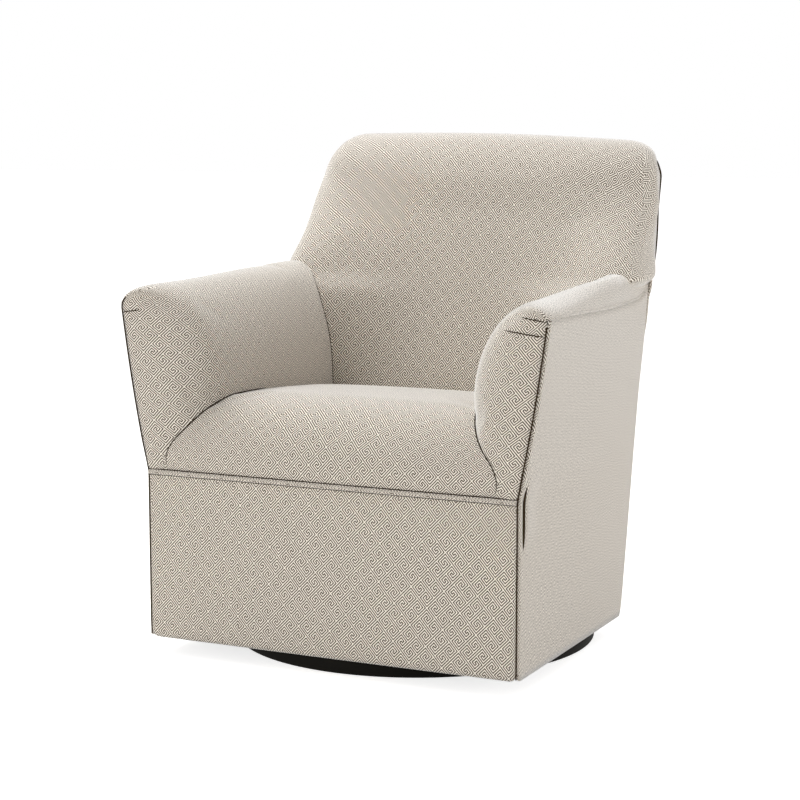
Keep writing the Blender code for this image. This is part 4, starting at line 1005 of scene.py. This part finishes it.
shares = [i / STEPS for i in range(STEPS + 1)]
border_path = [Vector((mix(-BORDER_HALF, BORDER_HALF, a), FRONT_Y - BORDER_PROUD, WELT_Z)) for a in shares]
lay_cord("border_welt", border_path, WELT_RADIUS)
for side, name in SIDES:
    top = []
    for a in shares:
        y = mix(NOSE_Y + ARM_WELT_START, rear_y(ARM_EDGE_Z) - ARM_WELT_END, a)
        edge = arm_edge(y) + ARM_WELT_INSET
        top.append(Vector((side * (side_x(y, edge) - ARM_WELT_INSET), y, edge)))
    lay_cord(f"{name}_arm_welt", top, ARM_WELT_RADIUS, taper=0.6)
rear_path = [rear_point(1.0, b) for b in shares]
rear_path += [rear_point(1 - a, 1.0) for a in shares[1:-1]]
rear_path += [rear_point(0.0, 1 - b) for b in shares]
inset = Vector((0, -REAR_WELT_INSET, 0))
lay_cord("outside_back_welt", [point + inset for point in rear_path], REAR_WELT_RADIUS)

# %% [markdown]
# ## Painted seam shade
#
# Every join between two covers lies in a narrow furrow whose shade shows as a fine dark line. That shade is
# painted with dark cords: it could be drawn on the cloth, but a cord of its own keeps its width. Where two
# pads meet, its path is found by walking along the rows of one sheet until they run into the other. The rest
# follow the welts, the gaps behind the arms' front edges, the rear edges of the wings, and the darts that
# take up the fullness over each arm's front corner.

# %% Where two covers meet
WING_FOOT_Z = WELT_Z + 0.06
CREASE_ROWS = ROLL_ROWS + 12
CREASE_RADIUS = SEAM_RADIUS * 1.2
CREASE_INSET, CREASE_LIFT = 0.0010, 0.0014


def surface_of(points):
    width = len(points[0])
    faces = [(r * width + c, r * width + c + 1, (r + 1) * width + c + 1, (r + 1) * width + c)
             for r in range(len(points) - 1) for c in range(width - 1)]
    return BVHTree.FromPolygons([point for row in points for point in row], faces)


def first_meeting(line, other):
    """The first place where a line of points runs into another sheet, or nothing."""
    for a, b in zip(line, line[1:]):
        hit = other.ray_cast(a, (b - a).normalized(), (b - a).length)[0]
        if hit:
            return hit


def meetings(rows, side, other):
    """Where the rows of a sheet, from their middles outwards, run into another sheet."""
    found = [first_meeting(row[::side][len(row) // 2:], other) for row in rows]
    return [place for place in found if place]


def eased(path, times=2):
    """The same path with its small kinks taken out."""
    for _ in range(times):
        middle = [(a + b * 2 + c) / 4 for a, b, c in zip(path, path[1:], path[2:])]
        path = [path[0], *middle, path[-1]]
    return path


for side, name in SIDES:
    arm_sheet = surface_of(arm_grids[name][0])
    wing = [place for place in meetings(back_points, side, arm_sheet) if place.z > WING_FOOT_Z]
    # Painted shade: a dark cord in the furrow where the back's wing meets the arm.
    lay_cord(f"{name}_wing_seam_shade", eased(wing), SEAM_RADIUS, seam_shade_finish, taper=0.4)
    lift = Vector((-CREASE_INSET * side, -CREASE_INSET, CREASE_LIFT))
    crease = [place + lift for place in meetings(seat_points[1:CREASE_ROWS], side, arm_sheet)]
    # Painted shade: a dark cord in the crease between seat and arm.
    lay_cord(f"{name}_seat_crease_shade", eased(crease, 5), CREASE_RADIUS, seam_shade_finish, taper=0.8)
    print(name, len(wing), "places on the wing,", len(crease), "beside the seat")

# %% Painted shade beside the border welt
SEAM_BEHIND = 0.0008
# Dark cords of painted shade in the furrows above and below the welt.
for name, lift in (("upper_border_seam_shade", 1), ("lower_border_seam_shade", -1)):
    shift = Vector((0, SEAM_BEHIND, lift * (WELT_RADIUS + SEAM_RADIUS / 2)))
    lay_cord(name, [point + shift for point in border_path], SEAM_RADIUS, seam_shade_finish)

# %% Painted shade in the arm front seams, gaps and darts
SEAM_FOOT_Z = HEM_Z + 0.004
SEAM_TURN_Z = NOSE_TOP - NOSE_ROUND
SEAM_TOP_Z = {"left": SEAM_TURN_Z, "right": NOSE_TOP - 0.006}
TURN_LEAD = 0.002
FRONT_RADIUS, FRONT_PROUD = SEAM_RADIUS * 1.3, 0.0003
NOSE_BLEND = 0.05
GAP_RADIUS, GAP_BEHIND = 0.0030, 0.003
GAP_STEPS, GAP_TOP = 12, 0.8
DART_PROUD = 0.0004
DARTS = {"left": (("lower", 0.569, 9), ("upper", 0.590, 7)), "right": (("lower", 0.577, 4),)}


def front_edge(side, z):
    """A point just in front of the seam between an arm's nose and its outside panel."""
    y = mix(FRONT_Y, NOSE_Y, clamp((z - WELT_Z) / NOSE_BLEND))
    return Vector((side * (side_x(NOSE_Y, z) - FRONT_ROUND), y - FRONT_PROUD, z))


for side, name in SIDES:
    points, normals = ([row[::-side] for row in rows] for rows in arm_grids[name])
    front = [front_edge(side, mix(SEAM_FOOT_Z, SEAM_TURN_Z, b)) for b in shares]
    over = [point for point in points[0] if SEAM_TURN_Z < point.z - TURN_LEAD < SEAM_TOP_Z[name]]
    front += sorted(over, key=lambda point: point.z)
    # Painted shade in the furrow of the front seam.
    lay_cord(f"{name}_front_seam_shade", front, FRONT_RADIUS, seam_shade_finish)
    gap = []
    for i in range(GAP_STEPS + 1):
        z = mix(LIP_Z - LIP_RUN, LIP_Z + LIP_RUN * GAP_TOP, i / GAP_STEPS)
        gap.append(Vector((side * (side_x(LIP_Y, z) + LIP / 4), LIP_Y - GAP_BEHIND, z)))
    # Painted shadow in the gap behind the panel's lip, running out to a point at both ends.
    lay_cord(f"{name}_front_gap_shadow", gap, GAP_RADIUS, seam_shade_finish, taper=1.0)
    for label, height, count in DARTS[name]:
        column = min(range(OUTER_POINTS, len(points[0])), key=lambda c: abs(points[0][c].z - height))
        dart = [points[r][column] + normals[r][column] * DART_PROUD for r in range(count)]
        # Painted shade in the fold of each dart.
        lay_cord(f"{name}_{label}_dart_shade", dart, SEAM_RADIUS, seam_shade_finish, taper=0.8)

# %% Painted shade along the rear edges of the wings
WING_LINE_FOOT, WING_LINE_TOP = 0.605, 0.850
WING_LINE_RADIUS, WING_LINE_PROUD = SEAM_RADIUS * 2.5, 0.001
# A thick dark cord of painted shade runs down each wing's rear edge, in the shadow of its seam.
for column, name in ((1, "right"), (-2, "left")):
    rows = zip(back_points, back_normals)
    line = [points[column] + normals[column] * WING_LINE_PROUD for points, normals in rows]
    line = [point for point in line if WING_LINE_FOOT < point.z < WING_LINE_TOP]
    lay_cord(f"{name}_side_seam_shade", line, WING_LINE_RADIUS, seam_shade_finish, taper=0.7)

# %% [markdown]
# ## Floor ring
#
# The base is a flat ring with eased edges, enamelled a dull black. A torus could be flattened into one. A
# closed profile turned round the swivel axis in many small steps gives true flats, eased edges and an
# outline that is a clean circle.

# %% Ring
ring_low, ring_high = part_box("base_ring")
RING_EDGE, RING_EDGE_POINTS = 0.0030, 5
RING_WIDTH = 0.036
RING_PROUD = 0.009
RING_FOOT = 0.0003
RING_STEPS = 144
ring_centre = Vector(((ring_low.x + ring_high.x) / 2, (ring_low.y + ring_high.y) / 2, 0))
ring_outer = (ring_high.x - ring_low.x) / 2 + RING_PROUD
ring_profile = []
for corner_x, corner_z, start in ((1, 1, 0), (-1, 1, 90), (-1, -1, 180), (1, -1, 270)):
    centre_x = ring_outer - RING_WIDTH / 2 + corner_x * (RING_WIDTH / 2 - RING_EDGE)
    centre_z = (RING_FOOT + ring_high.z) / 2 + corner_z * ((ring_high.z - RING_FOOT) / 2 - RING_EDGE)
    for i in range(RING_EDGE_POINTS):
        turn = radians(start + 90 / (RING_EDGE_POINTS - 1) * i)
        ring_profile.append((centre_x + RING_EDGE * cos(turn), centre_z + RING_EDGE * sin(turn)))
built = bmesh.new()
loops = []
for i in range(RING_STEPS):
    turn = 2 * pi * i / RING_STEPS
    loops.append([built.verts.new((ring_centre.x + r * cos(turn), ring_centre.y + r * sin(turn), z))
                  for r, z in ring_profile])
for here, there in zip(loops, loops[1:] + loops[:1]):
    for i in range(len(here)):
        j = (i + 1) % len(here)
        built.faces.new((here[i], there[i], there[j], here[j])).smooth = True
bmesh.ops.recalc_face_normals(built, faces=built.faces)
ring_mesh = bpy.data.meshes.new("floor_ring")
built.to_mesh(ring_mesh)
built.free()
floor_ring = bpy.data.objects.new("floor_ring", ring_mesh)
scene.collection.objects.link(floor_ring)
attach(floor_ring, "base")
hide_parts("base_ring")
print("floor ring", len(ring_mesh.polygons), "faces")

# %% [markdown]
# ## Hard finishes
#
# The base is stoved enamel, the mechanism is zinc plated steel, and the frame is plain sawn hardwood. Each
# could have a network of its own. All of them are two close colours over a fine grain with a little relief,
# so one function makes them, from the grain's real size, its stretch and the roughness of the surface.

# %% Hard materials
GLOSS_SPREAD = 0.06


def plain_finish(name, base, other, grain, rough, stretch=(1, 1, 1), metal=0.0, bump=0.1, shine=0.5):
    """Two close colours over a stretched grain of this size in metres, with a fine relief."""
    made, tree = new_material(name)
    place = add(tree, "ShaderNodeTexCoord").outputs["Object"]
    scale = [s / grain for s in stretch]
    scaled = add(tree, "ShaderNodeMapping", {"Vector": place, "Scale": scale}).outputs[0]
    noise = add(tree, "ShaderNodeTexNoise", {"Vector": scaled, "Scale": 1.0, "Detail": 4.0}).outputs[0]
    tint = add(tree, "ShaderNodeMix", {0: noise, 6: colour(base), 7: colour(other)}, data_type="RGBA")
    gloss = add(tree, "ShaderNodeMapRange", {"Value": noise, "To Min": rough - GLOSS_SPREAD,
                "To Max": rough + GLOSS_SPREAD}).outputs[0]
    relief = add(tree, "ShaderNodeBump", {"Height": noise, "Strength": bump, "Distance": grain / 4})
    face = add(tree, "ShaderNodeBsdfPrincipled", {"Base Color": tint.outputs[2], "Roughness": gloss,
               "Metallic": metal, "Normal": relief.outputs[0], "Specular IOR Level": shine})
    add(tree, "ShaderNodeOutputMaterial", {"Surface": face.outputs[0]})
    return made


finishes = {
    "key_weave_fabric": cloth_finish,
    # Stoved enamel is near black and dull, with a faint orange peel.
    "black_enamel": plain_finish("stoved_black_enamel", "#0e0d0b", "#181612", grain=0.0015, rough=0.62,
                                 bump=0.05, shine=0.06),
    # Zinc plating is a pale metal with cloudy patches.
    "zinc_plated_steel": plain_finish("zinc_plated_steel", "#b9bcc0", "#a3a7ab", grain=0.004, rough=0.34,
                                      metal=1.0),
    # Tempered spring wire is a darker, greyer metal.
    "spring_steel": plain_finish("spring_steel", "#55585c", "#404347", grain=0.003, rough=0.40, metal=1.0),
    # Moulded nylon is off-white and waxy, and polypropylene is black with a fine mould grain.
    "nylon": plain_finish("moulded_nylon", "#e4e0d6", "#d8d3c8", grain=0.002, rough=0.45, bump=0.05),
    "glide_plastic": plain_finish("black_polypropylene", "#191919", "#222221", grain=0.001, rough=0.5),
    # Sawn poplar has soft streaks along the grain and a rough face.
    "frame_timber": plain_finish("sawn_poplar", "#c9ac7f", "#a9855a", grain=0.006, rough=0.7,
                                 stretch=(1, 1, 0.12), bump=0.25),
    # Woven webbing shows its ribs, and bonded cloth a felted, matt black.
    "elastic_webbing": plain_finish("elastic_webbing", "#2a2a2b", "#3a3a3a", grain=0.003, rough=0.85,
                                    stretch=(0.3, 1, 1), bump=0.4),
    "black_cambric": plain_finish("black_bonded_cloth", "#121212", "#1d1d1d", grain=0.0012, rough=0.9,
                                  bump=0.3),
}
floor_ring.data.materials.append(finishes["black_enamel"])
board_mesh.materials.clear()
board_mesh.materials.append(finishes["frame_timber"])
slots = {part["node"]: part["material_slot"] for part in frame["record"]["subparts"]}
for node, thing in frame["nodes"].items():
    thing.data.materials.clear()
    thing.data.materials.append(finishes[slots[node]])
print(len(finishes), "finishes on", len(slots), "solids")

# %% [markdown]
# ## Dust covers
#
# Two strips of thin black cloth close the underside beside the mechanism. They are tacked to the bottom
# rails all round and hang a little in the middle. A simulation could let them hang, but a formula gives so
# small a sag as well.

# %% Dust covers
SAG = 0.003
DUST_COLUMNS, DUST_ROWS = 8, 12
for name in ("left", "right"):
    low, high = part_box(f"{name}_dust_cover")
    rows = []
    for r in range(DUST_ROWS + 1):
        row = []
        for c in range(DUST_COLUMNS + 1):
            a, b = c / DUST_COLUMNS, r / DUST_ROWS
            # Times 16, the product is 1 in the middle.
            drop = SAG * 16 * a * (1 - a) * b * (1 - b)
            row.append(Vector((mix(high.x, low.x, a), mix(low.y, high.y, b), low.z - drop)))
        rows.append(row)
    cover = cut_cloth(f"{name}_dust_cloth", rows)
    wide, long = high.x - low.x, high.y - low.y
    faces = finish_cover(cover)
    cover.data.materials.append(finishes["black_cambric"])
    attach(cover, "seat")
    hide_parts(f"{name}_dust_cover")
    print(cover.name, faces, "triangles, cut", round(wide, 3), "by", round(long, 3), "m")

# %% [markdown]
# ## Studio
#
# The photograph has a white ground and light from all round. More lamps could whiten the floor, but they
# would bleach the cloth too. So floor and sky look white to the camera and to mirror rays only, give a
# plainer light to the chair, and the floor keeps its shadow. Three soft lamps add shape: one overhead, one
# low on the viewer's right and one in front.

# %% Floor and sky
FLOOR_SIZE = 60.0
FLOOR_COLOUR, FLOOR_GLOW = "#e9e7e4", 0.75
SKY_LIGHT, SKY_SEEN = 0.62, 1.0


def seen_directly(tree):
    """1 for rays from the camera and for mirror rays, 0 for the light that falls on the chair."""
    ray = add(tree, "ShaderNodeLightPath").outputs
    either = {0: ray["Is Camera Ray"], 1: ray["Is Glossy Ray"]}
    return add(tree, "ShaderNodeMath", either, operation="MAXIMUM").outputs[0]


reach = FLOOR_SIZE / 2
corners = [(-reach, -reach, 0), (reach, -reach, 0), (reach, reach, 0), (-reach, reach, 0)]
floor_mesh = bpy.data.meshes.new("studio_floor")
floor_mesh.from_pydata(corners, [], [(0, 1, 2, 3)])
floor = bpy.data.objects.new("studio_floor", floor_mesh)
scene.collection.objects.link(floor)
floor_finish, tree = new_material("pale_floor")
lift = add(tree, "ShaderNodeMath", {0: seen_directly(tree), 1: FLOOR_GLOW}, operation="MULTIPLY")
shell = add(tree, "ShaderNodeBsdfPrincipled", {"Base Color": colour(FLOOR_COLOUR), "Roughness": 0.9,
            "Emission Color": colour("#ffffff"), "Emission Strength": lift.outputs[0]})
add(tree, "ShaderNodeOutputMaterial", {"Surface": shell.outputs[0]})
floor_mesh.materials.append(floor_finish)

sky = bpy.data.worlds.new("white_sky")
sky.use_nodes = True
tree = sky.node_tree
tree.nodes.clear()
level = add(tree, "ShaderNodeMapRange", {"Value": seen_directly(tree), "To Min": SKY_LIGHT,
            "To Max": SKY_SEEN})
glow = add(tree, "ShaderNodeBackground", {"Color": (1, 1, 1, 1), "Strength": level.outputs[0]})
add(tree, "ShaderNodeOutputWorld", {"Surface": glow.outputs[0]})
scene.world = sky
print("floor", FLOOR_SIZE, "m across, sky at", SKY_LIGHT)


# %% Lamps
def soft_lamp(name, place, aim, size, watts):
    lamp = bpy.data.lights.new(name, "AREA")
    lamp.shape = "DISK"
    lamp.size = size
    lamp.energy = watts
    thing = bpy.data.objects.new(name, lamp)
    scene.collection.objects.link(thing)
    thing.location = place
    thing.rotation_euler = (Vector(aim) - Vector(place)).to_track_quat("-Z", "Y").to_euler()
    print(name, size, "m across,", watts, "W")


soft_lamp("overhead_lamp", (-1.2, 0.6, 2.9), aim=(0, 0, 0.4), size=2.0, watts=60)
soft_lamp("right_lamp", (3.0, 0.3, 0.7), aim=(0, 0, 0.3), size=1.2, watts=25)
soft_lamp("front_lamp", (-1.4, -3.5, 1.0), aim=(0, 0, 0.4), size=2.0, watts=33)
scene.view_settings.view_transform = "Standard"
